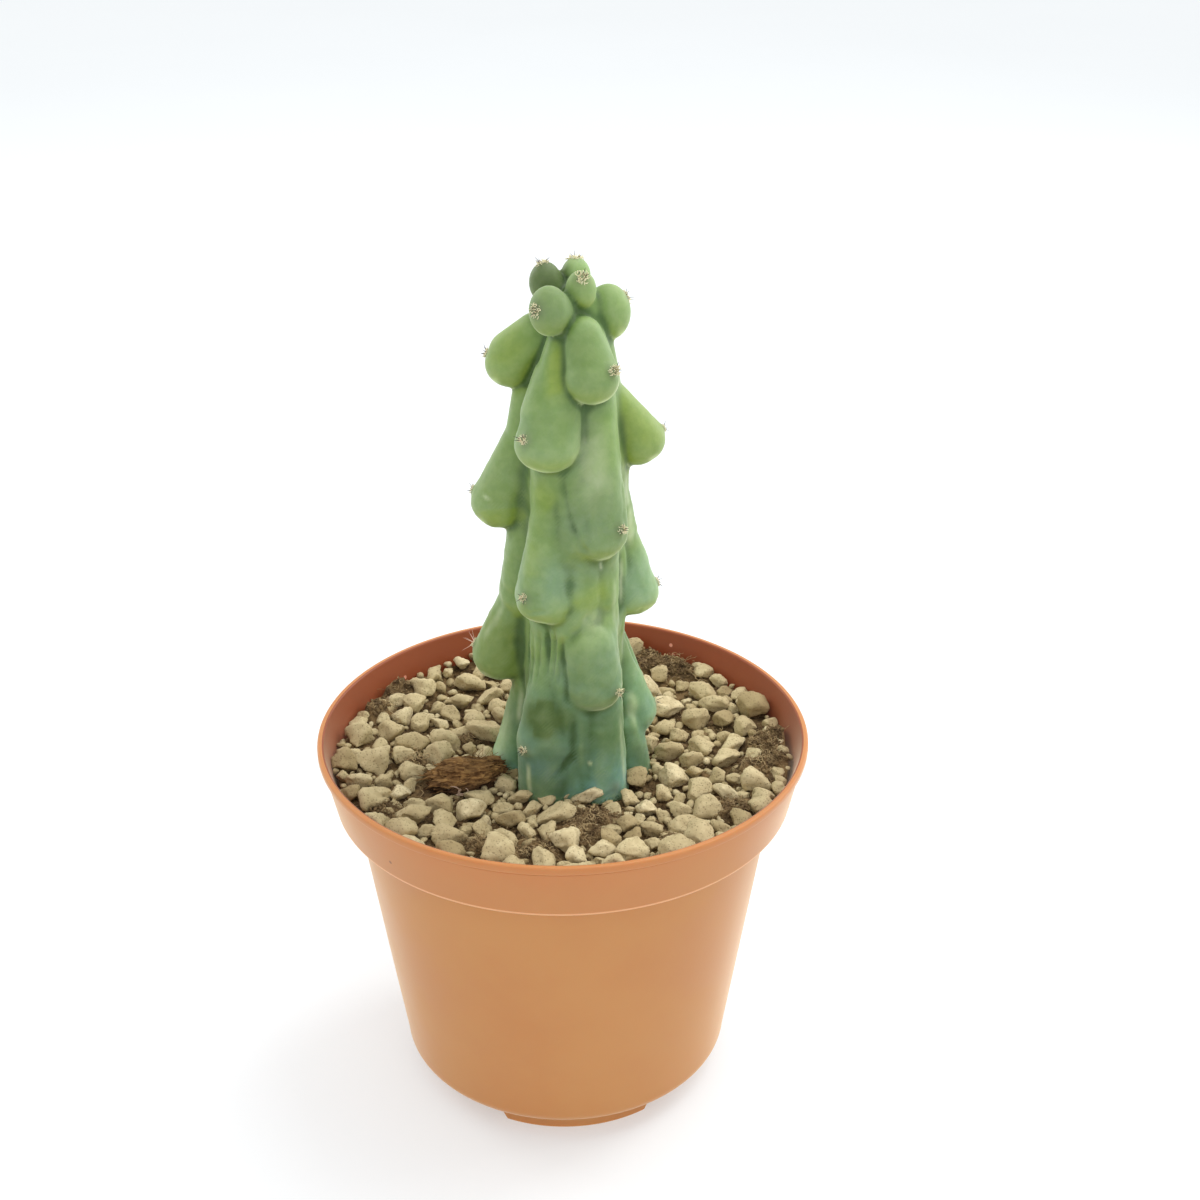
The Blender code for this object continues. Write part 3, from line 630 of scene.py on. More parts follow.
def shape_tubercle(azimuth_deg, height, reach, look_up_deg, width, swing_deg, neck):
    """A teardrop with its root on the rib above, and a small nub under the areole."""
    look_up = math.radians(look_up_deg)
    belly_deg = azimuth_deg + swing_deg
    belly = on_rib(belly_deg, reach - 0.5 * width * math.cos(look_up), height - 0.5 * width * math.sin(look_up))
    root_z = min(height + neck * width, AXIS_TOP_Z - 3.0 * MM)
    root_radius = 0.26 * width
    rib_deg, grown_mm = min(RIBS, key=lambda rib: abs((azimuth_deg - rib[0] + 180.0) % 360.0 - 180.0))
    youth = (height - 186.0 * MM) / (22.0 * MM)
    root_reach = blend(max(0.0, rib_reach(grown_mm * MM, root_z) - root_radius), 0.0, youth)
    half_height = width * blend(0.40, 0.60, youth)
    drop = stretch_skin(add_ball(belly, (0.47 * width, 0.48 * width, half_height), math.radians(belly_deg - 90.0)),
                        add_ball(on_rib(rib_deg, root_reach, root_z), (root_radius,) * 3))
    nub = 0.09 * width
    tip = on_rib(azimuth_deg, reach - nub * math.cos(look_up), height - nub * math.sin(look_up))
    return drop, stretch_skin(add_ball(tip, (nub,) * 3), add_ball(belly, (0.3 * width,) * 3))


skins = []
for (low_z, low_radius), (high_z, high_radius) in zip(CORE, CORE[1:]):
    skins.append(stretch_skin(add_ball(stem_axis(low_z * MM), (low_radius * MM,) * 3),
                              add_ball(stem_axis(high_z * MM), (high_radius * MM,) * 3)))
    for azimuth_deg, grown_mm in RIBS:
        pair = []
        for z in (low_z * MM, high_z * MM):
            centre = on_rib(azimuth_deg, rib_reach(grown_mm * MM, z) - RIB_RADIUS, min(z, AXIS_TOP_Z - RIB_RADIUS))
            pair.append(add_ball(centre, (RIB_RADIUS,) * 3))
        skins.append(stretch_skin(*pair))
for azimuth_deg, height_mm, reach_mm, look_up_deg, width_mm, swing_deg, neck in TUBERCLES:
    skins.extend(shape_tubercle(azimuth_deg, height_mm * MM, reach_mm * MM, look_up_deg, width_mm * MM, swing_deg,
                                neck))
for fill in FILLS:
    skins.append(stretch_skin(*(add_ball(on_rib(azimuth_deg, (reach - radius) * MM, z * MM), (radius * MM,) * 3)
                                for azimuth_deg, z, reach, radius in (fill[:4], fill[4:]))))
print(len(skins), "skins")

# %% [markdown]
# The young tubercles near the apex press against each other with crisp, dark creases, while the old ones lower
# down have merged into the ribs. One remesh gives the crisp creases. The Smooth modifier then softens by a
# vertex group that is heavy below and light above.

# %% Grow together, then soften with age
STEM_VOXEL = 0.52 * MM
stem = join_all("cactus_stem", skins)
remesh = stem.modifiers.new("grow together", "REMESH")
remesh.mode = "VOXEL"
remesh.voxel_size = STEM_VOXEL
apply_modifiers(stem)


def weigh_by_age(obj, name, young_z, old_z, young_weight):
    """A vertex group that falls from 1 on old growth to a light weight on young growth."""
    group = obj.vertex_groups.new(name=name)
    for vert in obj.data.vertices:
        group.add([vert.index], blend(young_weight, 1.0, (young_z - vert.co.z) / (young_z - old_z)), "REPLACE")
    return group


weigh_by_age(stem, "age", 196.0 * MM, 150.0 * MM, 0.0)
for name, repeats, group in (("even the voxels", 3, ""), ("soften old growth", 16, "age")):
    smooth = stem.modifiers.new(name, "SMOOTH")
    smooth.factor = 0.5
    smooth.iterations = repeats
    smooth.vertex_group = group
apply_modifiers(stem)
print("stem:", len(stem.data.vertices), "points")

# %% [markdown]
# The rest of the stem's relief is small: pleats where old tubercles have shrunk against each other, soft rims
# along some tubercles, shallow dents, and a knuckled foot. Each is a stroke from one place on the skin to
# another, given by azimuth and height, which moves the skin in or out along its normals in a soft bell.

# %% Strokes over the skin
UNROLL_RADIUS = 16.0 * MM
# Azimuth and height where a stroke starts and ends, its half width, and how far it raises the skin, in
# degrees and mm.
STROKES = (
    (-60.0, 127.0, -60.0, 117.0, 1.3, -0.55),
    (-24.0, 129.0, -23.0, 118.5, 1.0, -0.6),
    (-16.0, 130.0, -17.0, 117.0, 1.0, -0.6),
    (-9.0, 129.0, -12.5, 116.0, 1.1, -0.7),
    (-33.0, 128.0, -33.0, 116.0, 0.9, -0.4),
    (-42.0, 127.0, -43.0, 113.0, 1.0, -0.4),
    (-78.0, 127.0, -75.0, 109.0, 1.6, -0.45),
    (1.0, 149.0, -6.0, 133.0, 2.6, -0.35),
    (-11.0, 167.0, -4.0, 158.0, 1.2, -0.35),
    (-4.0, 158.0, 9.0, 151.0, 1.3, -0.4),
    (1.0, 108.0, 2.0, 97.0, 1.7, -0.65),
    (2.0, 98.0, -12.0, 92.5, 1.6, -0.5),
    (2.0, 97.0, 9.0, 88.0, 1.6, -0.35),
    (-8.0, 125.0, -5.0, 112.0, 1.3, -0.6),
    (-6.0, 127.0, 14.0, 135.0, 1.9, -0.35),
    (-34.0, 112.0, -20.0, 96.0, 4.5, -0.35),
    (-30.0, 141.0, -22.0, 136.0, 4.5, -0.55),
    (25.0, 157.0, 26.0, 153.0, 3.4, -0.3),
    (8.0, 160.0, 10.0, 150.0, 1.3, -0.35),
    (50.0, 166.0, 42.0, 152.0, 1.5, 0.45),
    (76.0, 147.0, 78.0, 122.0, 1.7, 0.5),
    (66.0, 145.0, 66.0, 128.0, 1.8, -0.5),
    (62.0, 118.0, 60.0, 95.0, 2.0, -0.55),
    (80.0, 106.0, 74.0, 96.0, 1.6, 0.4),
    (-56.0, 146.0, -52.0, 131.0, 1.5, 0.4),
    (-60.0, 106.0, -58.0, 90.0, 1.8, -0.45),
    (20.0, 98.0, 28.0, 86.0, 4.5, 0.25),
    (140.0, 128.0, 138.0, 96.0, 2.2, -0.6),
    (-142.0, 132.0, -140.0, 92.0, 2.2, -0.6),
    (168.0, 127.0, 168.0, 115.0, 1.4, -0.5),
    (186.0, 128.0, 187.0, 118.0, 1.4, -0.6),
    (-118.0, 108.0, -116.0, 94.0, 1.6, -0.5),
    (112.0, 122.0, 113.0, 110.0, 1.3, -0.5),
    (98.0, 121.0, 98.0, 111.0, 1.3, -0.45),
)


def unroll(points):
    """Azimuth and height of many points round the stem's axis."""
    axis_x = LEAN_AT_SOIL + (points[:, 2] - SOIL_TOP_Z) / (AXIS_TOP_Z - SOIL_TOP_Z) * (LEAN_AT_TOP - LEAN_AT_SOIL)
    return np.degrees(np.arctan2(points[:, 0] - axis_x, -points[:, 1])), points[:, 2]


def stroke_weight(azimuths, heights, stroke):
    """A soft bell round the stroke on the unrolled skin."""
    start_deg, start_mm, end_deg, end_mm, half_mm, _ = stroke
    across = np.radians((azimuths - start_deg + 180.0) % 360.0 - 180.0) * UNROLL_RADIUS
    up = heights - start_mm * MM
    run = np.array((math.radians(end_deg - start_deg) * UNROLL_RADIUS, (end_mm - start_mm) * MM))
    along = np.clip((across * run[0] + up * run[1]) / max(run @ run, 1e-12), 0.0, 1.0)
    away = np.hypot(across - along * run[0], up - along * run[1]) / (half_mm * MM)
    ends = np.clip(4.0 * np.minimum(along, 1.0 - along) + 0.35, 0.0, 1.0)
    return np.where(away < 1.0, 0.5 + 0.5 * np.cos(np.pi * np.minimum(away, 1.0)), 0.0) * ends


def points_of(obj):
    points = np.empty(len(obj.data.vertices) * 3)
    obj.data.vertices.foreach_get("co", points)
    return points.reshape(-1, 3)


def normals_of(obj):
    normals = np.empty(len(obj.data.vertices) * 3)
    obj.data.vertex_normals.foreach_get("vector", normals)
    return normals.reshape(-1, 3)


def set_points(obj, points):
    obj.data.vertices.foreach_set("co", points.ravel())
    obj.data.update()


points = points_of(stem)
azimuths, heights = unroll(points)
lift = np.zeros(len(points))
for stroke in STROKES:
    lift += stroke_weight(azimuths, heights, stroke) * stroke[5] * MM
set_points(stem, points + normals_of(stem) * lift[:, None])
print("skin moved in by up to", round(-lift.min() / MM, 2), "mm and out by up to", round(lift.max() / MM, 2), "mm")

# %% [markdown]
# Living skin is never quite even, so two cloud textures displace it by a few tenths of a millimetre, more on
# the old growth. Below the soil the stem is a plain root end that fills its hole. The foot is squeezed to it.

# %% Uneven skin and the root end
PEG_RADIUS = 12.5 * MM
PEG_FOOT_Z = 66.0 * MM
for name, size_mm, height_mm in (("dents", 7.5, 0.9), ("wrinkles", 2.2, 0.22)):
    cloud = bpy.data.textures.new(name, "CLOUDS")
    cloud.noise_scale = size_mm * MM
    cloud.noise_depth = 2
    displace = stem.modifiers.new(name, "DISPLACE")
    displace.texture = cloud
    displace.texture_coords = "LOCAL"
    displace.strength = height_mm * MM
    displace.mid_level = 0.5
    displace.vertex_group = "age"
apply_modifiers(stem)

points = points_of(stem)
middle = np.array(stem_axis(SOIL_TOP_Z).xy)
buried = points[:, 2] < SOIL_TOP_Z
from_middle = points[buried, :2] - middle
reach = np.linalg.norm(from_middle, axis=1)
points[buried, :2] = middle + from_middle * np.minimum(1.0, PEG_RADIUS / np.maximum(reach, 1e-9))[:, None]
depth_share = (SOIL_TOP_Z - points[buried, 2]) / (SOIL_TOP_Z - points[:, 2].min())
points[buried, 2] = SOIL_TOP_Z - depth_share * (SOIL_TOP_Z - PEG_FOOT_Z)
set_points(stem, points)
bpy.ops.object.shade_smooth()
print("stem from", round(points[:, 2].min() / MM, 1), "to", round(points[:, 2].max() / MM, 1), "mm")

# %% [markdown]
# The skin's colour depends on where it is. Bellies carry a pale blue-grey wax, necks and furrows stay bare and
# yellow-green, creases are darker by painted shade, the lower rim of each tubercle is pale where light comes
# through it, and a dull greyish halo lies round each areole. Some tubercles are yellower or darker as a whole,
# and a few patches have a tint of their own; the pale ones are partly pale marks on the skin and partly
# painted highlights on rims. Each of these is measured once and stored on the mesh, where the shader reads it.

# %% Tones and tints of the skin
# For each tubercle, in the same order: how yellow it is (below 0: how blue), and how light it is.
SKIN_TONES = ((0.1, -1.1), (0.1, -0.2), (0.0, 0.0), (-0.05, -0.4), (0.3, -0.3), (0.15, -0.6), (0.0, -0.7),
              (0.0, -0.4), (-0.2, 1.4), (0.25, -0.2), (1.3, -0.5), (0.0, 0.5), (0.1, 1.1), (0.0, 0.4),
              (0.3, 0.0), (0.0, 0.1), (-0.2, 0.0), (0.3, -2.3), (0.8, -0.3), (0.4, -0.3), (0.9, -0.9), (0.2, 2.2))
# Patches with a tint of their own: azimuth and height of both ends in degrees and mm, half width in mm, and
# how strong the tint is. The pale strokes are partly pale marks on the skin and partly painted highlights
# along the rims of tubercles.
TINTS = {
    "yellow": ((-4.0, 138.0, 34.0, 140.0, 5.0, 0.8), (-35.0, 153.0, -30.0, 144.0, 5.0, 0.7),
               (-40.0, 165.0, -20.0, 160.0, 5.5, 0.7), (-84.0, 155.0, -76.0, 152.5, 4.5, 1.3),
               (92.0, 169.0, 104.0, 166.5, 4.0, 1.0), (-36.0, 196.0, -26.0, 197.0, 3.0, 0.6),
               (-28.0, 197.0, -16.0, 187.0, 4.5, 1.2), (-92.0, 188.0, -80.0, 185.5, 3.0, 0.5),
               (96.0, 131.0, 104.0, 128.0, 3.0, 0.7), (176.0, 178.0, 184.0, 178.0, 5.0, 0.8),
               (-150.0, 150.0, -146.0, 142.0, 5.0, 0.7)),
    "blue": ((-29.0, 96.0, -12.0, 92.5, 4.0, 0.8), (84.0, 104.0, 104.0, 98.0, 6.0, 0.4),
             (16.0, 99.0, 28.0, 94.0, 4.5, 0.5), (-24.0, 150.0, -16.0, 140.0, 5.0, 0.2)),
    "olive": ((-30.0, 107.6, -14.0, 107.6, 6.6, 3.2),),
    "pale": ((84.0, 163.5, 90.0, 155.0, 2.0, 1.0), (90.0, 155.0, 84.0, 146.5, 2.0, 1.0),
             (70.0, 143.0, 71.0, 132.0, 1.1, 0.8), (41.0, 141.0, 42.0, 131.0, 1.4, 0.35),
             (14.0, 178.0, 18.0, 164.0, 6.5, 0.7), (6.0, 133.0, 28.0, 132.0, 5.0, 0.45),
             (-31.0, 95.5, -30.0, 88.0, 0.9, 1.1), (44.0, 106.0, 46.0, 88.0, 1.2, 0.5),
             (81.0, 107.0, 75.0, 99.0, 1.0, 0.6), (-87.0, 130.0, -89.0, 121.0, 1.1, 0.6),
             (-77.0, 108.0, -79.0, 99.0, 1.6, 0.8), (-92.0, 102.0, -88.0, 86.0, 3.4, 0.5), (24.0, 147.0, 26.0, 145.0, 0.7, 1.0),
             (-86.0, 158.6, -83.0, 157.8, 0.6, 1.0), (15.0, 95.8, 15.6, 95.0, 0.7, 1.6)),
}


# %% Measure wax, rims, creases and halos
def store(obj, name, values):
    attribute = obj.data.attributes.new(name, "FLOAT", "POINT")
    attribute.data.foreach_set("value", np.asarray(values, dtype=np.float32))


def smooth_share(values):
    values = np.clip(values, 0.0, 1.0)
    return values * values * (3.0 - 2.0 * values)


points = points_of(stem)
normals = normals_of(stem)
azimuths, heights = unroll(points)
wax, halo, rim = (np.zeros(len(points)) for _ in range(3))
light = np.zeros(len(points))
tints = {name: np.zeros(len(points)) for name in TINTS}
for name, rows in TINTS.items():
    for row in rows:
        tints[name] = np.maximum(tints[name], row[5] * stroke_weight(azimuths, heights, row))
areoles = []
for (azimuth_deg, height_mm, reach_mm, look_up_deg, width_mm, swing_deg, _), tone in zip(TUBERCLES, SKIN_TONES):
    look_up = math.radians(look_up_deg)
    width = width_mm * MM
    place = on_rib(azimuth_deg, reach_mm * MM, height_mm * MM)
    belly = on_rib(azimuth_deg + swing_deg, reach_mm * MM - 0.5 * width * math.cos(look_up),
                   height_mm * MM - 0.5 * width * math.sin(look_up) + 0.15 * width)
    from_belly = np.linalg.norm((points - np.array(belly)) * (1.0, 1.0, 0.8), axis=1) / width
    near = smooth_share((0.86 - from_belly) / 0.42)
    wax = np.maximum(wax, near)
    light = np.where(near > 0.02, np.maximum(near, 0.0) * tone[1] + (1.0 - near) * light, light)
    tints["yellow"] = np.maximum(tints["yellow"], near * tone[0])
    tints["blue"] = np.maximum(tints["blue"], near * -tone[0])
    out = (front_polar(1.0, azimuth_deg + swing_deg) + Vector((0.0, 0.0, 0.45))).normalized()
    side = front_polar(1.0, azimuth_deg + swing_deg + 90.0) * (-0.7 if swing_deg > 0.0 else 0.7 * (swing_deg < 0.0))
    lower = (side + Vector((0.0, 0.0, -0.75))).normalized()
    turned = smooth_share(1.0 - np.abs(normals @ np.array(out) - 0.22) / 0.36)
    rim = np.maximum(rim, turned * smooth_share((normals @ np.array(lower) - 0.25) / 0.5)
                     * smooth_share((0.8 - from_belly) / 0.2))
    halo = np.maximum(halo, smooth_share(1.0 - np.linalg.norm(points - np.array(place), axis=1) / (3.4 * MM)))
    found, spot, normal, _ = stem.closest_point_on_mesh(place)
    areoles.append((spot, normal, height_mm * MM, azimuth_deg))
store(stem, "wax", wax)
store(stem, "halo", halo)
store(stem, "rim", rim)
store(stem, "light", 1.0 + 0.24 * light)
for name, values in tints.items():
    store(stem, name, np.clip(values, 0.0, 1.0))

edges = np.empty(len(stem.data.edges) * 2, dtype=np.int32)
stem.data.edges.foreach_get("vertices", edges)
edges = edges.reshape(-1, 2)
neighbours = np.bincount(edges.ravel(), minlength=len(points))


def mean_of_neighbours(values):
    total = np.bincount(edges[:, 0], weights=values[edges[:, 1]], minlength=len(values))
    total += np.bincount(edges[:, 1], weights=values[edges[:, 0]], minlength=len(values))
    return total / neighbours


ring = np.stack([mean_of_neighbours(points[:, axis]) for axis in range(3)], axis=1)
hollow = ((ring - points) * normals).sum(axis=1)
for _ in range(8):
    hollow = mean_of_neighbours(hollow)
# Hollows are painted darker: painted shade in the creases.
crease_shade = smooth_share(hollow / (0.02 * MM))
ridge = smooth_share(-hollow / (0.02 * MM))
store(stem, "crease_shade", crease_shade)
store(stem, "ridge", ridge)
print("mean wax", round(wax.mean(), 2), "crease_shade", round(crease_shade.mean(), 3), "ridge", round(ridge.mean(), 3))

# %% [markdown]
# The skin's finish mixes those measures. Two ramps run from the bluish foot to the yellow-green apex, one for
# bare skin and one for waxed skin. Undersides are yellower, because the light that reaches them has passed
# through the flesh. The flesh lets light in a little way, which is what makes the rims of the tubercles glow.

# %% The plant's skin
def height_ramp(tree, z, stops):
    """A colour ramp from the soil to the apex; stops are (height in mm, colour)."""
    low, high = 84.0, 214.0
    share = put(tree, "ShaderNodeMapRange", {"Value": z, "From Min": low * MM, "From Max": high * MM})
    ramp = put(tree, "ShaderNodeValToRGB", {"Fac": share.outputs["Result"]})
    ramp.color_ramp.interpolation = "EASE"
    while len(ramp.color_ramp.elements) < len(stops):
        ramp.color_ramp.elements.new(0.5)
    for element, (height, colour) in zip(ramp.color_ramp.elements, stops):
        element.position = (height - low) / (high - low)
        element.color = colour
    return ramp.outputs["Color"]


def measured(tree, name):
    return put(tree, "ShaderNodeAttribute", attribute_name=name).outputs["Fac"]


def make_skin():
    material, tree, shader, place = new_finish(
        "waxy green skin", 0.5, Subsurface_Weight=0.35, Subsurface_Scale=2.6 * MM,
        Subsurface_Radius=(0.7, 1.0, 0.35), Sheen_Weight=0.3, Sheen_Roughness=0.4,
        Sheen_Tint=(0.86, 1.0, 0.72, 1.0), Specular_IOR_Level=0.35)
    z = put(tree, "ShaderNodeSeparateXYZ", {"Vector": place}).outputs["Z"]
    bare = height_ramp(tree, z, ((84.0, picked(98, 128, 98)), (104.0, picked(100, 133, 88)),
                                 (128.0, picked(124, 150, 84)), (165.0, picked(122, 148, 80)),
                                 (200.0, picked(116, 146, 74))))
    waxed = height_ramp(tree, z, ((84.0, picked(96, 136, 126)), (108.0, picked(114, 148, 113)),
                                  (130.0, picked(130, 157, 120)), (165.0, picked(132, 157, 110)),
                                  (203.0, picked(128, 157, 98))))
    patches = put(tree, "ShaderNodeTexNoise", {"Vector": place, "Scale": 90.0, "Detail": 5.0, "Roughness": 0.6})
    uneven = spread(tree, patches.outputs["Fac"], 0.3, 0.7, 0.3, 1.2)
    share = calc(tree, "MULTIPLY", measured(tree, "wax"), uneven, clamp=True)
    colour = mix_colour(tree, share, bare, waxed)
    normal = tree.nodes.new("ShaderNodeNewGeometry").outputs["Normal"]
    up = put(tree, "ShaderNodeSeparateXYZ", {"Vector": normal}).outputs["Z"]
    under = spread(tree, up, 0.15, -0.6, 0.0, 0.75)
    above_foot = spread(tree, z, 100.0 * MM, 125.0 * MM)
    colour = mix_colour(tree, calc(tree, "MULTIPLY", under, above_foot), colour, picked(146, 162, 66))
    # The crease colour is painted shade in the hollows of the skin.
    for name, strength, tint in (("yellow", 0.7, picked(142, 162, 56)), ("blue", 0.55, picked(102, 140, 140)),
                                 ("olive", 0.9, picked(84, 108, 44)), ("crease_shade", 0.8, picked(60, 92, 40)),
                                 ("ridge", 0.3, picked(168, 188, 134)), ("rim", 1.0, picked(210, 220, 158)),
                                 # The pale tint is partly pale marks and partly painted highlights on the rims.
                                 ("pale", 0.6, picked(206, 216, 176)), ("halo", 0.5, picked(108, 112, 94))):
        colour = mix_colour(tree, calc(tree, "MULTIPLY", measured(tree, name), strength), colour, tint)
    colour = mix_colour(tree, 1.0, colour, measured(tree, "light"), "MULTIPLY")
    veins = drift(tree, place, (1.0, 1.0, 1.0, 1.0), (0.84, 0.9, 0.82, 1.0), 420.0, 0.8)
    colour = mix_colour(tree, 1.0, colour, veins.outputs["Colour"], "MULTIPLY")
    tree.links.new(colour, shader.inputs["Base Color"])
    rough = spread(tree, share, 0.0, 1.0, 0.42, 0.58)
    tree.links.new(rough, shader.inputs["Roughness"])
    pores = grain(tree, place, 1500.0, 0.25)
    folds = put(tree, "ShaderNodeTexNoise", {"Vector": place, "Scale": 300.0, "Detail": 4.0, "Distortion": 1.0})
    height = calc(tree, "ADD", calc(tree, "MULTIPLY", pores.outputs["Height"], 0.25), folds.outputs["Fac"])
    feed_bump(tree, shader, height, 0.3, 0.3 * MM)
    return material


finish_piece(stem, make_skin(), "cactus")

# %% [markdown]
# ## Areoles
# An areole is a small cushion of cream wool with a few short spines, cream at the root and dark at the tip.
# The wool is made of curled fibres, each a thin curve with a bevel. One tuft and one spine are modelled, and
# every areole gets its own copies, stood on the skin along its normal.

# %% A fibre, a tuft of wool and a spine
AREOLE_SEED = 21
chance = random.Random(AREOLE_SEED)


def make_fibre(name, path, radius, tip_share=0.4):
    """A thin curve with a bevel along a path, converted to a mesh."""
    curve = bpy.data.curves.new(name, "CURVE")
    curve.dimensions = "3D"
    curve.bevel_depth = radius
    curve.bevel_resolution = 0
    curve.use_fill_caps = True
    spline = curve.splines.new("POLY")
    spline.points.add(len(path) - 1)
    for index, (point, place) in enumerate(zip(spline.points, path)):
        point.co = (*place, 1.0)
        point.radius = 1.0 + (tip_share - 1.0) * index / (len(path) - 1)
    fibre = bpy.data.objects.new(name, curve)
    bpy.context.scene.collection.objects.link(fibre)
    select_only(fibre)
    bpy.ops.object.convert(target="MESH")
    return bpy.context.object


def wander(start, direction, length, steps, bend):
    """A path that keeps its length and turns a little at random at each step."""
    path = [Vector(start)]
    direction = Vector(direction).normalized()
    for _ in range(steps):
        direction = (direction + Vector([chance.gauss(0.0, bend) for _ in range(3)])).normalized()
        path.append(path[-1] + direction * length / steps)
    return path


def make_tuft(hairs, spread_mm, length_mm):
    """Wool that rises from the skin at z = 0 and curls outwards."""
    strands = []
    for _ in range(hairs):
        bearing = chance.uniform(0.0, math.tau)
        out = spread_mm * MM * math.sqrt(chance.random())
        start = (out * math.cos(bearing), out * math.sin(bearing), -0.3 * MM)
        lean = (math.cos(bearing) * 0.5, math.sin(bearing) * 0.5, 0.8)
        length = length_mm * MM * chance.uniform(0.6, 1.2)
        strands.append(make_fibre("hair", wander(start, lean, length, 5, 0.6), 0.1 * MM))
    return join_all("tuft", strands)


def make_spine():
    """A needle along +Z, one millimetre long, with a swollen root."""
    bpy.ops.object.select_all(action="DESELECT")
    bpy.ops.mesh.primitive_cone_add(vertices=7, radius1=0.12 * MM, radius2=0.015 * MM, depth=1.0 * MM,
                                    location=(0.0, 0.0, 0.5 * MM))
    spine = join_all("spine", [bpy.context.object])
    bpy.ops.object.mode_set(mode="EDIT")
    bpy.ops.mesh.select_all(action="SELECT")
    bpy.ops.mesh.subdivide(number_cuts=3)
    bpy.ops.object.mode_set(mode="OBJECT")
    points = points_of(spine)
    swell = 1.0 + 0.6 * np.exp(-((points[:, 2] / MM - 0.08) / 0.1) ** 2)
    points[:, :2] *= swell[:, None]
    set_points(spine, points)
    store(spine, "along", points[:, 2] / MM)
    return spine


def stand_copy(model, place, normal, size, turn):
    """A copy with a mesh of its own, stood on a point along a normal."""
    copy = model.copy()
    copy.data = model.data.copy()
    bpy.context.scene.collection.objects.link(copy)
    upright = Vector(normal).to_track_quat("Z", "Y").to_matrix().to_4x4()
    scale = Matrix.Diagonal((*size, 1.0))
    copy.matrix_world = Matrix.Translation(place) @ upright @ Matrix.Rotation(turn, 4, "Z") @ scale
    return copy


tufts = [make_tuft(60, 0.95, 0.95), make_tuft(50, 0.8, 0.85)]
spine = make_spine()
print("tuft:", len(tufts[0].data.polygons), "faces, spine:", len(spine.data.polygons), "faces")

# %% Stand wool and spines on every areole
LOWEST_AREOLE_Z = 92.0 * MM
TOP_LIMIT_Z = solid_bounds[1].z - 0.1 * MM
YOUNG_WOOL_Z = 196.0 * MM          # above it the cushions carry more wool
LONG_SPINED = (-102.0, 116.8)      # azimuth and height of the one areole with long, pale pink spines
wool_copies, spine_copies = [], []
for spot, normal, height, azimuth_deg in areoles:
    if height < LOWEST_AREOLE_Z:
        continue
    long_spined = (azimuth_deg, round(height / MM, 1)) == LONG_SPINED
    wool_size = chance.uniform(0.85, 1.15) * blend(1.0, 1.45, (height - YOUNG_WOOL_Z) / (10.0 * MM))
    wool_copies.append(stand_copy(chance.choice(tufts), spot, normal, (wool_size,) * 3,
                                  chance.uniform(0.0, math.tau)))
    count = 5 if long_spined else chance.choice((4, 5, 5))
    first = chance.uniform(0.0, math.tau)
    side = Vector(normal).orthogonal().normalized()
    for index in range(count):
        around = Matrix.Rotation(first + index * math.tau / count + chance.uniform(-0.4, 0.4), 3, normal) @ side
        lean = math.radians(chance.uniform(15.0, 68.0))
        direction = Vector(normal) * math.cos(lean) + around * math.sin(lean)
        length = chance.uniform(2.6, 3.8) if long_spined else chance.uniform(1.0, 2.1)
        if direction.z > 0.0:
            length = min(length, (TOP_LIMIT_Z - spot.z) / MM / direction.z)
        root = spot - Vector(normal) * 0.25 * MM + around * 0.25 * MM
        thick = chance.uniform(0.9, 1.2)
        spine_copies.append(stand_copy(spine, root, direction, (thick, thick, length + 0.25), 0.0))
wool = join_all("areole_wool", wool_copies)
spines = join_all("areole_spines", spine_copies)
bpy.data.objects.remove(spine, do_unlink=True)
for tuft in tufts:
    bpy.data.objects.remove(tuft, do_unlink=True)
print("highest spine", round(points_of(spines)[:, 2].max() / MM, 2), "mm of", round(solid_bounds[1].z / MM, 2))


# %% Finishes of wool and spines
def make_wool():
    material, tree, shader, place = new_finish("cream wool", 0.9, Sheen_Weight=0.5, Specular_IOR_Level=0.2)
    tone = drift(tree, place, picked(242, 236, 198), picked(204, 194, 144), 900.0, 0.7)
    tree.links.new(tone.outputs["Colour"], shader.inputs["Base Color"])
    strands = grain(tree, place, 5000.0, 0.0)
    feed_bump(tree, shader, strands.outputs["Height"], 0.3, 0.05 * MM)
    return material


def make_spine_finish():
    material, tree, shader, place = new_finish("cream spine with a dark tip", 0.4)
    along = measured(tree, "along")
    ramp = put(tree, "ShaderNodeValToRGB", {"Fac": along})
    ramp.color_ramp.elements[0].color = picked(196, 176, 138)
    ramp.color_ramp.elements[1].color = picked(38, 30, 26)
    ramp.color_ramp.elements[0].position = 0.15
    ramp.color_ramp.elements[1].position = 0.45
    above = put(tree, "ShaderNodeVectorMath", {1: (-22.8 * MM, 5.0 * MM, 116.8 * MM)}, operation="DISTANCE")
    tree.links.new(place, above.inputs[0])
    near = spread(tree, above.outputs["Value"], 6.0 * MM, 7.5 * MM, 1.0, 0.0)
    colour = mix_colour(tree, near, ramp.outputs["Color"], picked(226, 186, 168))
    tree.links.new(colour, shader.inputs["Base Color"])
    ridges = grain(tree, place, 3000.0, 0.0)
    feed_bump(tree, shader, ridges.outputs["Height"], 0.2, 0.03 * MM)
    return material


finish_piece(wool, make_wool(), "cactus")
finish_piece(spines, make_spine_finish(), "cactus")

# %% [markdown]
# ## The potting soil
# The pot is filled with dark peat, full of coir fibre, to a little under the collar's top. Only its surface
# shows, in the gaps between the stones and in a few bare patches, where it heaps up. It is drawn ring by ring
# like the pot, from the floor of the stem's hole over the surface and down the pot's inside, and two cloud
# textures then roughen the top.

# %% Draw the bed of peat
BED_SIDES = 256
BED_GAP = 0.4 * MM
STONE_PLANE_Z = 86.4 * MM
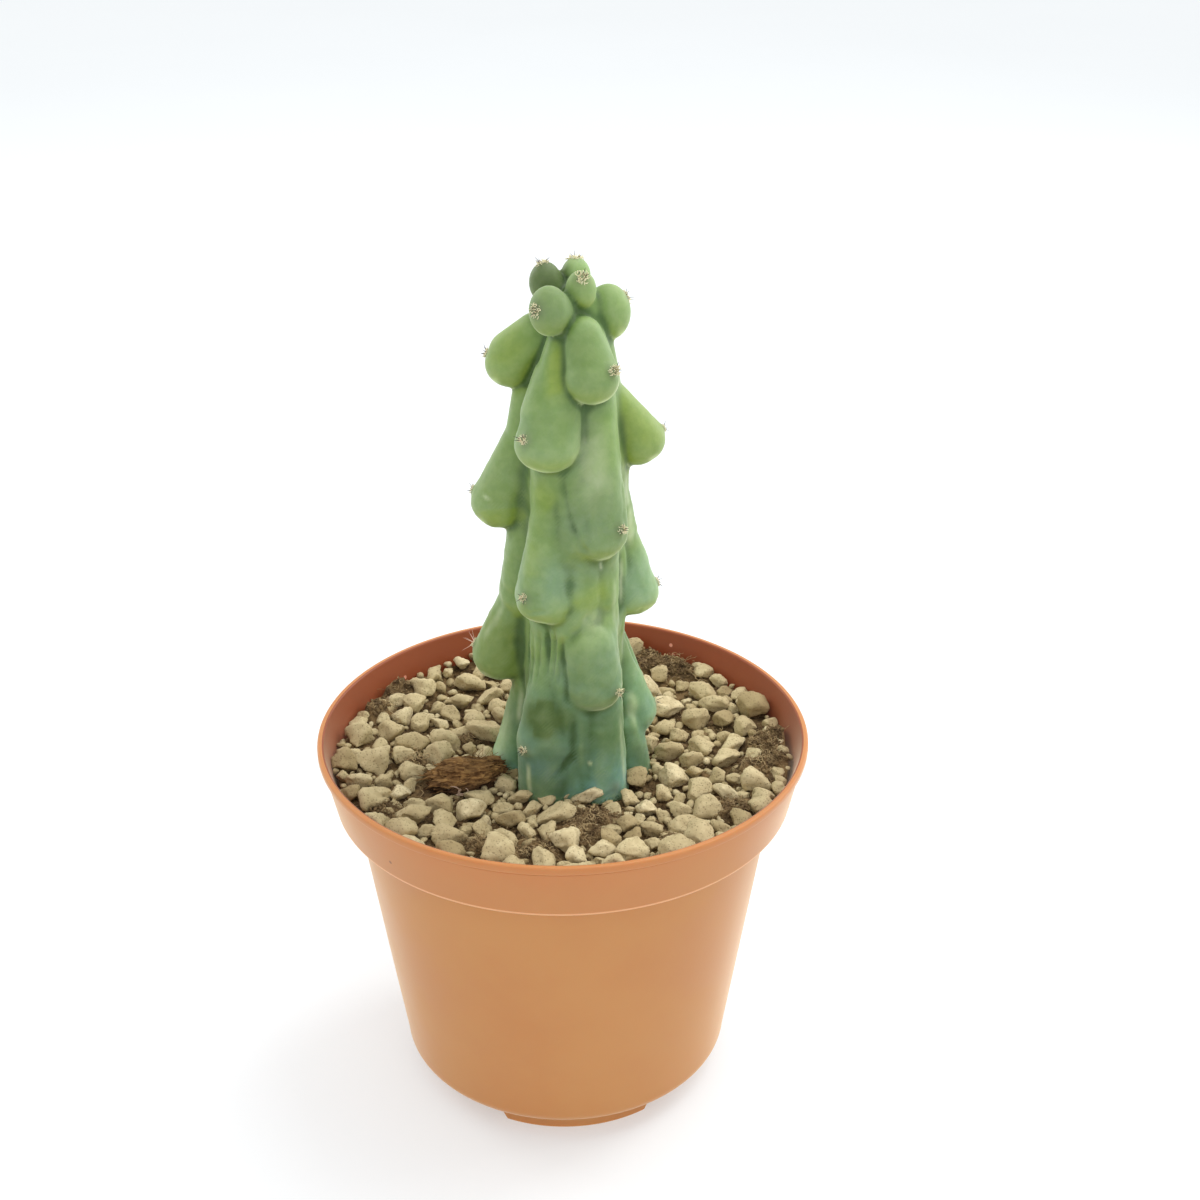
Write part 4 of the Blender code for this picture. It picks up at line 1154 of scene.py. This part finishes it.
# Bare patches between the stones: x, y and radius, and how high the peat heaps up there, in mm. One is a hollow.
BARE_PATCHES = ((4.5, -27.0, 4.2, 2.4), (9.8, -26.0, 4.2, 2.4), (6.8, -33.5, 3.6, 2.4), (1.0, -21.5, 2.6, 1.5),
                (40.5, -24.0, 4.2, 2.4), (47.0, -7.0, 4.4, 3.0), (51.5, -3.5, 3.6, 3.0), (50.0, 4.5, 3.8, 3.0),
                (53.5, 8.0, 3.0, 3.0), (37.4, 13.5, 2.6, 0.0), (22.0, 47.5, 5.0, 3.2), (26.5, 44.5, 4.4, 3.0),
                (31.0, 41.5, 3.4, 2.4), (26.0, -37.5, 2.6, 2.0), (-44.8, 32.0, 4.0, 3.2), (-40.8, -26.0, 3.8, 2.0),
                (-18.8, -38.5, 3.0, 2.0), (-10.6, -42.0, 2.6, 2.0), (-4.2, -40.0, 4.0, 2.0), (-36.5, -2.5, 3.0, 2.4),
                (-24.4, 9.0, 2.8, 2.0), (-48.0, 21.0, 3.2, 3.2), (-24.5, -17.2, 3.4, -1.6), (12.0, 46.0, 4.0, 2.6),
                (-12.0, 50.0, 4.0, 2.4))


def dish_rise(x, y):
    """How much higher the filling lies at a place: it is dished, and rises towards the wall."""
    return 2.4 * MM * smooth_share((np.hypot(x, y) / MM - 38.0) / 18.0)


def inner_radius(z):
    """The radius of the pot's inside at height z of the collar."""
    return collar_radius(z) - WALL


def bed_outline():
    hole = 12.85 * MM
    top_edge = inner_radius(SOIL_TOP_Z) - BED_GAP
    outline = [(8.0 * MM, PEG_FOOT_Z - BED_GAP), (hole, PEG_FOOT_Z - BED_GAP), (hole, SOIL_TOP_Z)]
    rings = 38
    for ring in range(1, rings + 1):
        outline.append((hole + (top_edge - hole) * ring / rings, SOIL_TOP_Z))
    ledge_z = COLLAR_FOOT_Z + WALL + BED_GAP
    outline += [(inner_radius(ledge_z) - BED_GAP, ledge_z), (BODY_TOP_RADIUS - WALL - BED_GAP, ledge_z - 0.5 * MM),
                (BODY_FOOT_RADIUS - WALL - BED_GAP, BODY_FOOT_Z + 0.6 * MM),
                (BODY_FOOT_RADIUS - 3.8 * MM, UNDERSIDE_Z + WALL + BED_GAP),
                (20.0 * MM, UNDERSIDE_Z + WALL + BED_GAP)]
    return outline


bed = draw_rings("peat_bed", bed_outline(), BED_SIDES)
bpy.ops.object.transform_apply()
shift = stem_axis(SOIL_TOP_Z).x
points = points_of(bed)
near_hole = np.clip(1.0 - (np.hypot(points[:, 0], points[:, 1]) - 14.0 * MM) / (20.0 * MM), 0.0, 1.0)
points[:, 0] += shift * near_hole * (points[:, 2] > PEG_FOOT_Z - MM)
top = points[:, 2] > SOIL_TOP_Z - 0.01 * MM
heaped = np.zeros(len(points))
for x, y, radius, rise in BARE_PATCHES:
    away = np.hypot(points[:, 0] - x * MM, points[:, 1] - y * MM) / (radius * 1.4 * MM)
    share = smooth_share(1.25 - away)
    heaped = np.maximum(heaped, rise * MM * share) if rise > 0.0 else heaped + rise * MM * share
points[:, 2] += top * (heaped + 1.2 * MM * (1.0 - near_hole) + dish_rise(points[:, 0], points[:, 1]))
set_points(bed, points)
surface = bed.vertex_groups.new(name="surface")
surface.add([int(index) for index in np.flatnonzero(top)], 1.0, "REPLACE")
for name, size_mm, height_mm in (("lumps", 3.0, 2.8), ("crumbs", 0.8, 1.5)):
    cloud = bpy.data.textures.new(name, "CLOUDS")
    cloud.noise_scale = size_mm * MM
    cloud.noise_depth = 3
    roughen = bed.modifiers.new(name, "DISPLACE")
    roughen.texture = cloud
    roughen.texture_coords = "LOCAL"
    roughen.direction = "Z"
    roughen.strength = height_mm * MM
    roughen.mid_level = 0.5
    roughen.vertex_group = "surface"
apply_modifiers(bed)
print("peat surface from", round(points_of(bed)[top, 2].min() / MM, 1), "to",
      round(points_of(bed)[top, 2].max() / MM, 1), "mm")


# %% [markdown]
# On the peat lie its own crumbs and the coir fibres, thin as hair and curled. Four crumbs and four fibres are
# modelled and copied many hundreds of times, thickest in the bare patches. Half of the crumb models have only 20
# faces, so that the copies stay light.

# %% Scatter crumbs and fibres
from mathutils.bvhtree import BVHTree

BED_SEED = 33
chance = random.Random(BED_SEED)
bed_tree = BVHTree.FromObject(bed, bpy.context.evaluated_depsgraph_get())
stem_tree = BVHTree.FromObject(stem, bpy.context.evaluated_depsgraph_get())


def ground_z(x, y):
    """The height of the peat under a place."""
    hit = bed_tree.ray_cast(Vector((x, y, 100.0 * MM)), Vector((0.0, 0.0, -1.0)))
    return hit[0].z if hit[0] else SOIL_TOP_Z


def room_at(x, y, z):
    """How far a place is from the stem and from the pot's wall."""
    from_stem = stem_tree.find_nearest(Vector((x, y, z)))[3]
    return min(from_stem, inner_radius(z) - math.hypot(x, y))


def make_clod(fineness):
    """An angular crumb about one unit across, with 20 faces at fineness 1 and 80 at fineness 2."""
    bpy.ops.object.select_all(action="DESELECT")
    bpy.ops.mesh.primitive_ico_sphere_add(subdivisions=fineness, radius=0.5)
    clod = bpy.context.object
    for vert in clod.data.vertices:
        vert.co *= chance.uniform(0.72, 1.12)
    return clod


def patch_place(share_in_patches):
    """A random place on the bed, often in a bare patch."""
    if chance.random() < share_in_patches:
        x, y, radius, _ = chance.choice(BARE_PATCHES)
        bearing, out = chance.uniform(0.0, math.tau), radius * math.sqrt(chance.random()) * 1.1
        return (x + out * math.cos(bearing)) * MM, (y + out * math.sin(bearing)) * MM
    bearing, out = chance.uniform(0.0, math.tau), 56.0 * MM * math.sqrt(chance.random())
    return out * math.cos(bearing), out * math.sin(bearing)


def random_tilt(amount=math.pi):
    return Euler([chance.uniform(-amount, amount) for _ in range(3)]).to_matrix()


clods = [make_clod(fineness) for fineness in (1, 2, 1, 2)]
crumb_copies = []
while len(crumb_copies) < 3400:
    x, y = patch_place(0.45)
    size = chance.uniform(0.5, 1.7) * MM
    z = ground_z(x, y)
    if room_at(x, y, z + size) < 0.6 * size + 0.2 * MM:
        continue
    lengths = (size, size * chance.uniform(0.5, 0.9), size * chance.uniform(0.4, 0.8))
    crumb_copies.append(stand_copy(chance.choice(clods), (x, y, z + 0.15 * size), random_tilt() @ Vector((0, 0, 1)),
                                   lengths, chance.uniform(0.0, math.tau)))
crumbs = join_all("peat_crumbs", crumb_copies)

fibre_models = [make_fibre("coir", wander((0, 0, 0), (1, 0.1, 0), length * MM, 9, bend), radius * MM)
                for length, bend, radius in ((8.0, 0.35, 0.12), (7.0, 0.55, 0.1), (6.0, 0.75, 0.16), (5.0, 0.9, 0.2))]
fibre_copies = []
while len(fibre_copies) < 1100:
    x, y = patch_place(0.8)
    z = ground_z(x, y) + chance.uniform(0.2, 1.3) * MM
    if room_at(x, y, z) < 3.6 * MM:
        continue
    normal = (random_tilt(0.35) @ Vector((0.0, 0.0, 1.0))).normalized()
    size = chance.uniform(0.5, 1.0)
    fibre_copies.append(stand_copy(chance.choice(fibre_models), (x, y, z), normal, (size, size, 0.5 * size),
                                   chance.uniform(0.0, math.tau)))
fibres = join_all("coir_fibres", fibre_copies)
for model in clods + fibre_models:
    bpy.data.objects.remove(model, do_unlink=True)


# %% Finishes of the peat
def make_peat(name, dark, light, scale):
    material, tree, shader, place = new_finish(name, 0.95, Specular_IOR_Level=0.2)
    clumps = drift(tree, place, dark, light, scale, 0.85)
    fine = drift(tree, place, clumps.outputs["Colour"], picked(150, 128, 92), 1400.0, 0.25)
    tree.links.new(fine.outputs["Colour"], shader.inputs["Base Color"])
    rough = grain(tree, place, 1100.0, 0.5)
    feed_bump(tree, shader, rough.outputs["Height"], 0.9, 0.5 * MM)
    return material


finish_piece(bed, make_peat("damp peat", picked(70, 52, 34), picked(138, 112, 76), 330.0), "potting_soil")
finish_piece(crumbs, make_peat("peat crumbs", picked(70, 52, 34), picked(152, 128, 90), 380.0),
             "potting_soil")
finish_piece(fibres, make_peat("coir fibre", picked(104, 80, 52), picked(206, 180, 134), 230.0),
             "potting_soil")

# %% [markdown]
# ## The chip of bark
# One chunk of bark lies on the peat left of the stem, with a pale root curled in front of it. Bark splits along
# its fibres. So the chunk is roughened while it is squeezed short along its length, and then stretched back,
# which draws the roughness out into long fibres. Loose splinters lie along it.

# %% Model the chip of bark
BARK_PLACE = Vector((-24.0 * MM, -9.8 * MM, 84.6 * MM))
BARK_SIZE = Vector((19.5 * MM, 10.6 * MM, 8.2 * MM))
BARK_TURN = math.radians(22.0)
BARK_STRETCH = 4.0
chance = random.Random(BED_SEED + 1)
bpy.ops.object.select_all(action="DESELECT")
bpy.ops.mesh.primitive_cube_add(size=1.0)
bark = bpy.context.object
bpy.ops.object.mode_set(mode="EDIT")
bpy.ops.mesh.select_all(action="SELECT")
bpy.ops.mesh.subdivide(number_cuts=9)
bpy.ops.object.mode_set(mode="OBJECT")
points = points_of(bark)
taper = 1.0 - 0.62 * np.abs(2.0 * points[:, 0]) ** 2.2
points[:, 1] *= taper
points[:, 2] = (points[:, 2] + 0.5) * (0.45 + 0.55 * taper) * (1.0 - 0.45 * (2.0 * points[:, 1]) ** 2)
set_points(bark, points * (BARK_SIZE.x / BARK_STRETCH, BARK_SIZE.y, BARK_SIZE.z))
for name, size_mm, height_mm in (("splits", 1.5, 2.6), ("fibres", 0.5, 1.2)):
    cloud = bpy.data.textures.new(name, "CLOUDS")
    cloud.noise_scale = size_mm * MM
    cloud.noise_depth = 2
    detail = bark.modifiers.new("finer " + name, "SUBSURF")
    detail.levels = detail.render_levels = 1
    roughen = bark.modifiers.new(name, "DISPLACE")
    roughen.texture = cloud
    roughen.texture_coords = "LOCAL"
    roughen.strength = height_mm * MM
    roughen.mid_level = 0.6
apply_modifiers(bark)
bark.matrix_world = (Matrix.Translation(BARK_PLACE) @ Matrix.Rotation(BARK_TURN, 4, "Z")
                     @ Matrix.Diagonal((BARK_STRETCH, 1.0, 1.0, 1.0)))
pieces = [bark]
for _ in range(170):
    along, across = chance.uniform(-0.45, 0.45), chance.uniform(-0.42, 0.42)
    up = 0.75 - 1.3 * along * along - 1.4 * across * across
    start = Matrix.Rotation(BARK_TURN, 3, "Z") @ Vector((along * BARK_SIZE.x, across * BARK_SIZE.y, up * BARK_SIZE.z))
    heading = Matrix.Rotation(BARK_TURN, 3, "Z") @ Vector((1.0, chance.uniform(-0.3, 0.3), chance.uniform(-0.25, 0.2)))
    path = wander(BARK_PLACE + start, heading * chance.choice((-1.0, 1.0)), chance.uniform(2.5, 6.0) * MM, 5, 0.26)
    pieces.append(make_fibre("splinter", path, chance.uniform(0.08, 0.22) * MM, 0.3))
bark = join_all("bark_chunk", pieces)
bark_points = points_of(bark)
bark_points[:, 2] = np.clip(bark_points[:, 2], 83.0 * MM, 92.4 * MM)
set_points(bark, bark_points)
bpy.ops.object.shade_smooth_by_angle(angle=math.radians(50.0))

# %% The curled root in front of it
curls = []
for x_mm, z_mm, size_mm, first_deg in ((-26.4, 87.6, 1.5, -60.0), (-23.6, 87.2, 1.1, 150.0)):
    curl = []
    for step in range(13):
        angle = math.radians(first_deg + 23.0 * step)
        radius = size_mm * (1.0 - 0.04 * step) * MM
        curl.append(Vector((x_mm * MM + 1.3 * radius * math.cos(angle), (-16.4 + 0.12 * step) * MM,
                            z_mm * MM + 0.8 * radius * math.sin(angle))))
    curls.append(make_fibre("curled_root", curl, 0.2 * MM, 0.5))
    curls.append(make_fibre("root_tail", wander(curl[0], (0.8, -0.3, -0.2), 4.5 * MM, 7, 0.5), 0.18 * MM, 0.5))
root_curl = join_all("curled_root", curls)


# %% Finishes of bark and root
def make_bark():
    material, tree, shader, place = new_finish("split bark", 0.88, Specular_IOR_Level=0.25)
    along = put(tree, "ShaderNodeMapping", {"Vector": place, "Rotation": (0.0, 0.0, -BARK_TURN),
                                            "Scale": (0.14, 1.0, 1.0)})
    streaks = drift(tree, along.outputs["Vector"], picked(98, 66, 36), picked(176, 136, 84), 1100.0, 0.9)
    broad = drift(tree, place, streaks.outputs["Colour"], picked(58, 37, 23), 260.0, 0.5)
    z = put(tree, "ShaderNodeSeparateXYZ", {"Vector": place}).outputs["Z"]
    # Painted shade: the chip's lower part, below 89.5 mm, is painted near black where it lies in shade.
    damp = spread(tree, z, 86.5 * MM, 89.5 * MM, 0.8, 0.0)
    colour = mix_colour(tree, damp, broad.outputs["Colour"], picked(48, 30, 19))
    tree.links.new(colour, shader.inputs["Base Color"])
    split = grain(tree, along.outputs["Vector"], 1300.0, 0.3)
    feed_bump(tree, shader, split.outputs["Height"], 0.9, 0.4 * MM)
    return material


def make_root():
    material, tree, shader, place = new_finish("dry pale root", 0.7)
    tone = drift(tree, place, picked(200, 172, 150), picked(150, 118, 100), 700.0, 0.7)
    tree.links.new(tone.outputs["Colour"], shader.inputs["Base Color"])
    feed_bump(tree, shader, grain(tree, place, 2500.0, 0.2).outputs["Height"], 0.4, 0.1 * MM)
    return material


finish_piece(bark, make_bark(), "bark_chip")
finish_piece(root_curl, make_root(), "bark_chip")

# %% [markdown]
# ## The pumice stones
# The dressing is pumice of 4 to 11 mm: rounded but angular stones with flat, broken sides. A stone starts as a
# ball that is cut by a few planes, as breaking and rubbing would, and is then rounded and roughened. A handful
# of such stones is modelled once. The stones that can be told apart from the front are laid where they lie on
# the real thing. The rest of the bed is filled by a seeded rule, from large to small, each clear of the others.

# %% Model the kinds of stone
STONE_SEED = 47
chance = random.Random(STONE_SEED)
rough_textures = []
for name, size in (("broken sides", 0.42), ("foam", 0.13)):
    cloud = bpy.data.textures.new(name, "CLOUDS")
    cloud.noise_scale = size
    cloud.noise_depth = 2
    rough_textures.append(cloud)


def make_stone(name, cuts, detail, kept_share):
    """A stone one unit long: a ball cut by planes, rounded, roughened and brought down to few faces."""
    bpy.ops.object.select_all(action="DESELECT")
    bpy.ops.mesh.primitive_ico_sphere_add(subdivisions=3, radius=0.5)
    stone = bpy.context.object
    stone.name = name
    bpy.ops.object.mode_set(mode="EDIT")
    for _ in range(cuts):
        normal = Vector([chance.gauss(0.0, 1.0) for _ in range(3)]).normalized()
        bpy.ops.mesh.select_all(action="SELECT")
        bpy.ops.mesh.bisect(plane_co=normal * chance.uniform(0.24, 0.40), plane_no=normal, use_fill=True,
                            clear_outer=True)
    bpy.ops.mesh.select_all(action="SELECT")
    bpy.ops.mesh.quads_convert_to_tris()
    bpy.ops.object.mode_set(mode="OBJECT")
    rebuild = stone.modifiers.new("even faces", "REMESH")
    rebuild.mode = "VOXEL"
    rebuild.voxel_size = 0.05
    round_off = stone.modifiers.new("rub round", "SMOOTH")
    round_off.factor = 0.5
    round_off.iterations = 2
    for texture, height in zip(rough_textures, (3.0 * detail, detail)):
        roughen = stone.modifiers.new(texture.name, "DISPLACE")
        roughen.texture = texture
        roughen.texture_coords = "LOCAL"
        roughen.strength = height
        roughen.mid_level = 0.5
    fewer = stone.modifiers.new("fewer faces", "DECIMATE")
    fewer.ratio = kept_share
    apply_modifiers(stone)
    stone.rotation_euler = [chance.uniform(0.0, math.tau) for _ in range(3)]
    bpy.ops.object.transform_apply(location=True, rotation=True, scale=True)
    points = points_of(stone)
    points -= (points.max(0) + points.min(0)) / 2.0
    set_points(stone, points / (points.max(0) - points.min(0)).max())
    bpy.ops.object.shade_smooth()
    return stone


large_kinds = [make_stone(f"large_{n}", 7 + n % 4, 0.06, 0.28) for n in range(12)]
small_kinds = [make_stone(f"small_{n}", 6 + n % 3, 0.05, 0.028) for n in range(8)]
print("faces of a large and a small stone:", len(large_kinds[0].data.polygons), len(small_kinds[0].data.polygons))

# %% Lay the stones that can be told apart
# Stones seen from the front: x, y, length and breadth in mm, and the way they point in degrees.
TOLD_APART = (
    (-51, 7, 8.8, 7.4, 60), (-46, -4, 11.0, 8.6, 35), (-49, -14, 8.9, 5.4, -15), (-35, -27, 10.2, 8.3, 10),
    (-26, -37, 9.7, 7.6, 0), (-39, 25, 7.3, 6.0, 25), (-35, 38, 6.9, 6.2, -10), (-28, 45, 6.6, 5.4, -60),
    (-23, 19, 5.8, 5.8, 0), (-20, 31, 8.7, 5.9, -5), (-37, -7, 7.3, 6.6, 0), (-39, -16, 5.5, 5.5, 0),
    (-25, -1, 6.9, 4.7, 15), (-19, 2, 7.5, 6.1, -20), (-12, -27, 7.6, 7.1, 0), (-18, -32, 7.0, 5.7, 0),
    (-14, -11, 6.3, 5.4, -20), (-3, -32, 8.2, 5.0, -60), (-10, -17, 7.2, 5.4, 0), (-4, -18, 5.2, 4.8, 0),
    (-38, 7, 10.0, 6.2, -20), (-32, 18, 5.9, 4.2, 0), (-33, 26, 5.5, 4.9, -20), (-53, 17, 6.4, 4.3, 70),
    (-47, 22, 7.7, 5.8, 20), (6, -17, 8.2, 6.9, -20), (18, -10, 8.0, 6.8, 50), (12, -23, 5.6, 5.0, 30),
    (26, 3, 9.2, 6.7, -10), (21, -31, 8.1, 6.2, -35), (29, -30, 8.6, 5.8, 0), (39, -16, 8.4, 5.0, 0),
    (46, 14, 8.4, 6.4, 10), (46, 29, 5.5, 5.2, 0), (36, 31, 8.4, 5.6, -30), (25, 40, 7.0, 6.0, 45),
    (31, 36, 5.6, 4.4, -20), (10, -41, 8.4, 5.6, 0), (17, -34, 5.7, 4.9, -60), (47, -20, 6.7, 5.9, 30),
    (37, -32, 6.5, 3.8, 10), (29, 11, 5.8, 5.4, 0), (27, 30, 6.0, 4.9, 20), (38, -8, 6.3, 5.4, 0),
    (32, -6, 5.5, 5.1, 0), (24, -16, 6.2, 5.4, -30), (20, -22, 6.2, 5.9, -40), (28, -23, 6.2, 5.3, 0),
    (47, -1, 8.2, 5.5, 0), (52, 15, 4.8, 4.6, 0), (53, 5, 5.0, 3.8, 70), (52, -9, 4.9, 4.6, 0),
    (-53, 15, 5.0, 4.6, 80), (15, 38, 7.0, 5.6, 30),
)
BARK_SPOTS = tuple((BARK_PLACE + Matrix.Rotation(BARK_TURN, 3, "Z") @ Vector((along * MM, 0.0, 0.0)))
                   for along in (-6.5, -2.2, 2.2, 6.5))
laid = []            # x, y and half length of each stone, in metres
large_copies, small_copies = [], []
STONE_TOP_Z = 93.6 * MM


def lay_stone(kinds, copies, x, y, length, breadth, turn_deg, sink=0.0):
    """Lays a copy of a stone flat on the bed and keeps its place."""
    height = min(length, breadth) * chance.uniform(0.72, 0.9)
    z = SOIL_TOP_Z + dish_rise(x, y) + 0.46 * height + chance.uniform(0.0, 1.0) * MM - sink
    z = min(z, STONE_TOP_Z - 0.55 * height)
    tilt = random_tilt(0.4) @ Vector((0.0, 0.0, 1.0))
    copy = stand_copy(chance.choice(kinds), (x, y, z), tilt, (length, breadth, height), math.radians(turn_deg))
    store(copy, "tone", np.full(len(copy.data.vertices), chance.random()))
    copies.append(copy)
    laid.append((x, y, 0.5 * math.sqrt(length * breadth)))


def clear_of(x, y, half, patches_too):
    """Whether a stone of this half length has room at a place."""
    z = SOIL_TOP_Z + dish_rise(x, y) + 2.0 * MM
    if room_at(x, y, z + half) < half * 0.9:
        return False
    if any(math.hypot(x - spot.x, y - spot.y) < half * 0.8 + 3.6 * MM for spot in BARK_SPOTS):
        return False
    if patches_too and any(math.hypot(x / MM - px, y / MM - py) < radius + 0.3 * half / MM
                           for px, py, radius, _ in BARE_PATCHES):
        return False
    return True


moved_in = 0
for x_mm, y_mm, length_mm, breadth_mm, turn_deg in TOLD_APART:
    x, y = x_mm * MM, y_mm * MM
    half = 0.5 * math.sqrt(length_mm * breadth_mm) * MM
    limit = inner_radius(89.0 * MM) - half
    if math.hypot(x, y) > limit:
        x, y = (value * limit / math.hypot(x, y) for value in (x, y))
        moved_in += 1
    lay_stone(large_kinds, large_copies, x, y, length_mm * MM, breadth_mm * MM, turn_deg)
print(len(TOLD_APART), "stones laid by place,", moved_in, "of them moved in from the wall")

# %% Fill the rest of the bed
# For each size: half length in mm, how many tries, how close two may lie, and whether patches stay bare.
FILL_ROUNDS = ((4.2, 2500, 0.88, True), (3.5, 3000, 0.87, True), (2.8, 4000, 0.86, True), (2.0, 6000, 0.84, True))
GRIT_ROUNDS = ((1.3, 2500, 0.82, False), (0.85, 1500, 0.7, False))


def fill_bed(kinds, copies, half_mm, tries, closeness, keep_bare, sink):
    for _ in range(tries):
        bearing, out = chance.uniform(0.0, math.tau), 56.0 * MM * math.sqrt(chance.random())
        x, y = out * math.cos(bearing), out * math.sin(bearing)
        half = half_mm * MM * chance.uniform(0.88, 1.15)
        if any(math.hypot(x - other[0], y - other[1]) < closeness * (half + other[2]) for other in laid):
            continue
        if clear_of(x, y, half, keep_bare):
            longer = chance.uniform(1.0, 1.25)
            lay_stone(kinds, copies, x, y, 2.0 * half * longer, 2.0 * half / longer, chance.uniform(0.0, 360.0),
                      sink)


for half_mm, tries, closeness, keep_bare in FILL_ROUNDS:
    fill_bed(large_kinds, large_copies, half_mm, tries, closeness, keep_bare, 0.0)
for half_mm, tries, closeness, keep_bare in GRIT_ROUNDS:
    fill_bed(small_kinds, small_copies, half_mm, tries, closeness, keep_bare, -0.5 * MM)
print(len(large_copies), "stones and", len(small_copies), "small ones")
stones = join_all("pumice_stones", large_copies)
grit = join_all("pumice_grit", small_copies)
for heap in (stones, grit):
    points = points_of(heap)
    radii = np.hypot(points[:, 0], points[:, 1])
    limits = collar_radius(np.minimum(points[:, 2], POT_HEIGHT)) - WALL - 0.15 * MM
    points[:, :2] *= np.minimum(1.0, limits / radii)[:, None]
    points[:, 2] = np.clip(points[:, 2], None, STONE_TOP_Z)
    set_points(heap, points)
for kind in large_kinds + small_kinds:
    bpy.data.objects.remove(kind, do_unlink=True)


# %% [markdown]
# Pumice is a foam of glass, dusty and full of fine pits. No two stones are the same tone: most are cream to tan,
# a few greyer or browner. Each stone carries its own tone as a value on its mesh.

# %% The pumice finish
def make_pumice(name):
    material, tree, shader, place = new_finish(name, 0.92, Specular_IOR_Level=0.2)
    tone = put(tree, "ShaderNodeValToRGB", {"Fac": measured(tree, "tone")})
    tones = tone.color_ramp
    tones.elements[0].color = picked(160, 141, 102)
    tones.elements[1].color = picked(220, 205, 166)
    for position, colour in ((0.2, picked(188, 171, 131)), (0.8, picked(204, 188, 147))):
        tones.elements.new(position).color = colour
    dusty = drift(tree, place, tone.outputs["Color"], picked(168, 149, 110), 420.0, 0.45)
    pores = grain(tree, place, 1500.0, 0.6)
    # The pits are painted darker: painted shade in the pores.
    pit_shade = calc(tree, "MULTIPLY", pores.outputs["Pit mask"], 0.45)
    colour = mix_colour(tree, pit_shade, dusty.outputs["Colour"], picked(110, 92, 64))
    tree.links.new(colour, shader.inputs["Base Color"])
    feed_bump(tree, shader, pores.outputs["Height"], 0.6, 0.3 * MM)
    return material


finish_piece(stones, make_pumice("dusty pumice"), "pumice_gravel")
finish_piece(grit, make_pumice("pumice grit"), "pumice_gravel")

# %% [markdown]
# ## Floor, light and camera
# The pot stands on a plain pale floor that is lit from below, like a light table, in soft light from all round.
# Two boxes behind it brighten its outline on both sides. The camera is where the fit of the pot's
# outline puts it: a little to the right of the axis, 0.4 m in front and looking down by 26.6 degrees.

# %% Floor
bpy.ops.object.select_all(action="DESELECT")
bpy.ops.mesh.primitive_plane_add(size=16.0, location=(0.0, 0.0, 0.0))
floor = bpy.context.object
floor.name = "floor"
paper, tree, shader, place = new_finish("pale floor", 0.9, Specular_IOR_Level=0.1)
soft = drift(tree, place, (0.58, 0.615, 0.635, 1.0), (0.565, 0.6, 0.62, 1.0), 3.0, 0.5)
tree.links.new(soft.outputs["Colour"], shader.inputs["Base Color"])
shader.inputs["Emission Color"].default_value = (0.62, 0.62, 0.62, 1.0)
shader.inputs["Emission Strength"].default_value = 0.6
floor.data.materials.append(paper)

# %% Light
world = bpy.data.worlds.new("soft studio")
world.use_nodes = True
bpy.context.scene.world = world
world.node_tree.nodes["Background"].inputs["Color"].default_value = (1.0, 1.0, 1.0, 1.0)
world.node_tree.nodes["Background"].inputs["Strength"].default_value = 0.9


def add_softbox(name, place, side, power):
    """A square area light that looks at the middle of the plant."""
    bpy.ops.object.select_all(action="DESELECT")
    bpy.ops.object.light_add(type="AREA", location=place)
    lamp = bpy.context.object
    lamp.name = name
    lamp.data.size = side
    lamp.data.energy = power
    aim = Vector((0.0, 0.0, 110.0 * MM)) - Vector(place)
    lamp.rotation_euler = aim.to_track_quat("-Z", "Y").to_euler()
    return lamp


add_softbox("overhead box", (0.28, 0.12, 0.85), 0.55, 3.2)
add_softbox("front box", (0.2, -0.9, 0.8), 0.6, 1.0)
add_softbox("left box behind", (-0.75, 0.55, 0.5), 0.4, 1.9)
add_softbox("right box behind", (0.75, 0.55, 0.5), 0.4, 2.9)

# %% Camera
CAMERA_PLACE = Vector((9.056 * MM, -402.116 * MM, 332.461 * MM))
CAMERA_PITCH_DEG = 26.64
PHOTO_SIDE = 1200.0            # the photograph is square; its focal length was fitted in these pixels
FOCAL_PIXELS = 1895.0
SENSOR_WIDTH = 36.0
bpy.ops.object.select_all(action="DESELECT")
bpy.ops.object.camera_add(location=CAMERA_PLACE, rotation=(math.radians(90.0 - CAMERA_PITCH_DEG), 0.0, 0.0))
camera = bpy.context.object
camera.data.sensor_width = SENSOR_WIDTH
camera.data.lens = SENSOR_WIDTH * FOCAL_PIXELS / PHOTO_SIDE
camera.data.clip_start = 10.0 * MM
bpy.context.scene.camera = camera
bpy.context.scene.view_settings.view_transform = "Standard"
print("lens", round(camera.data.lens, 2), "mm")
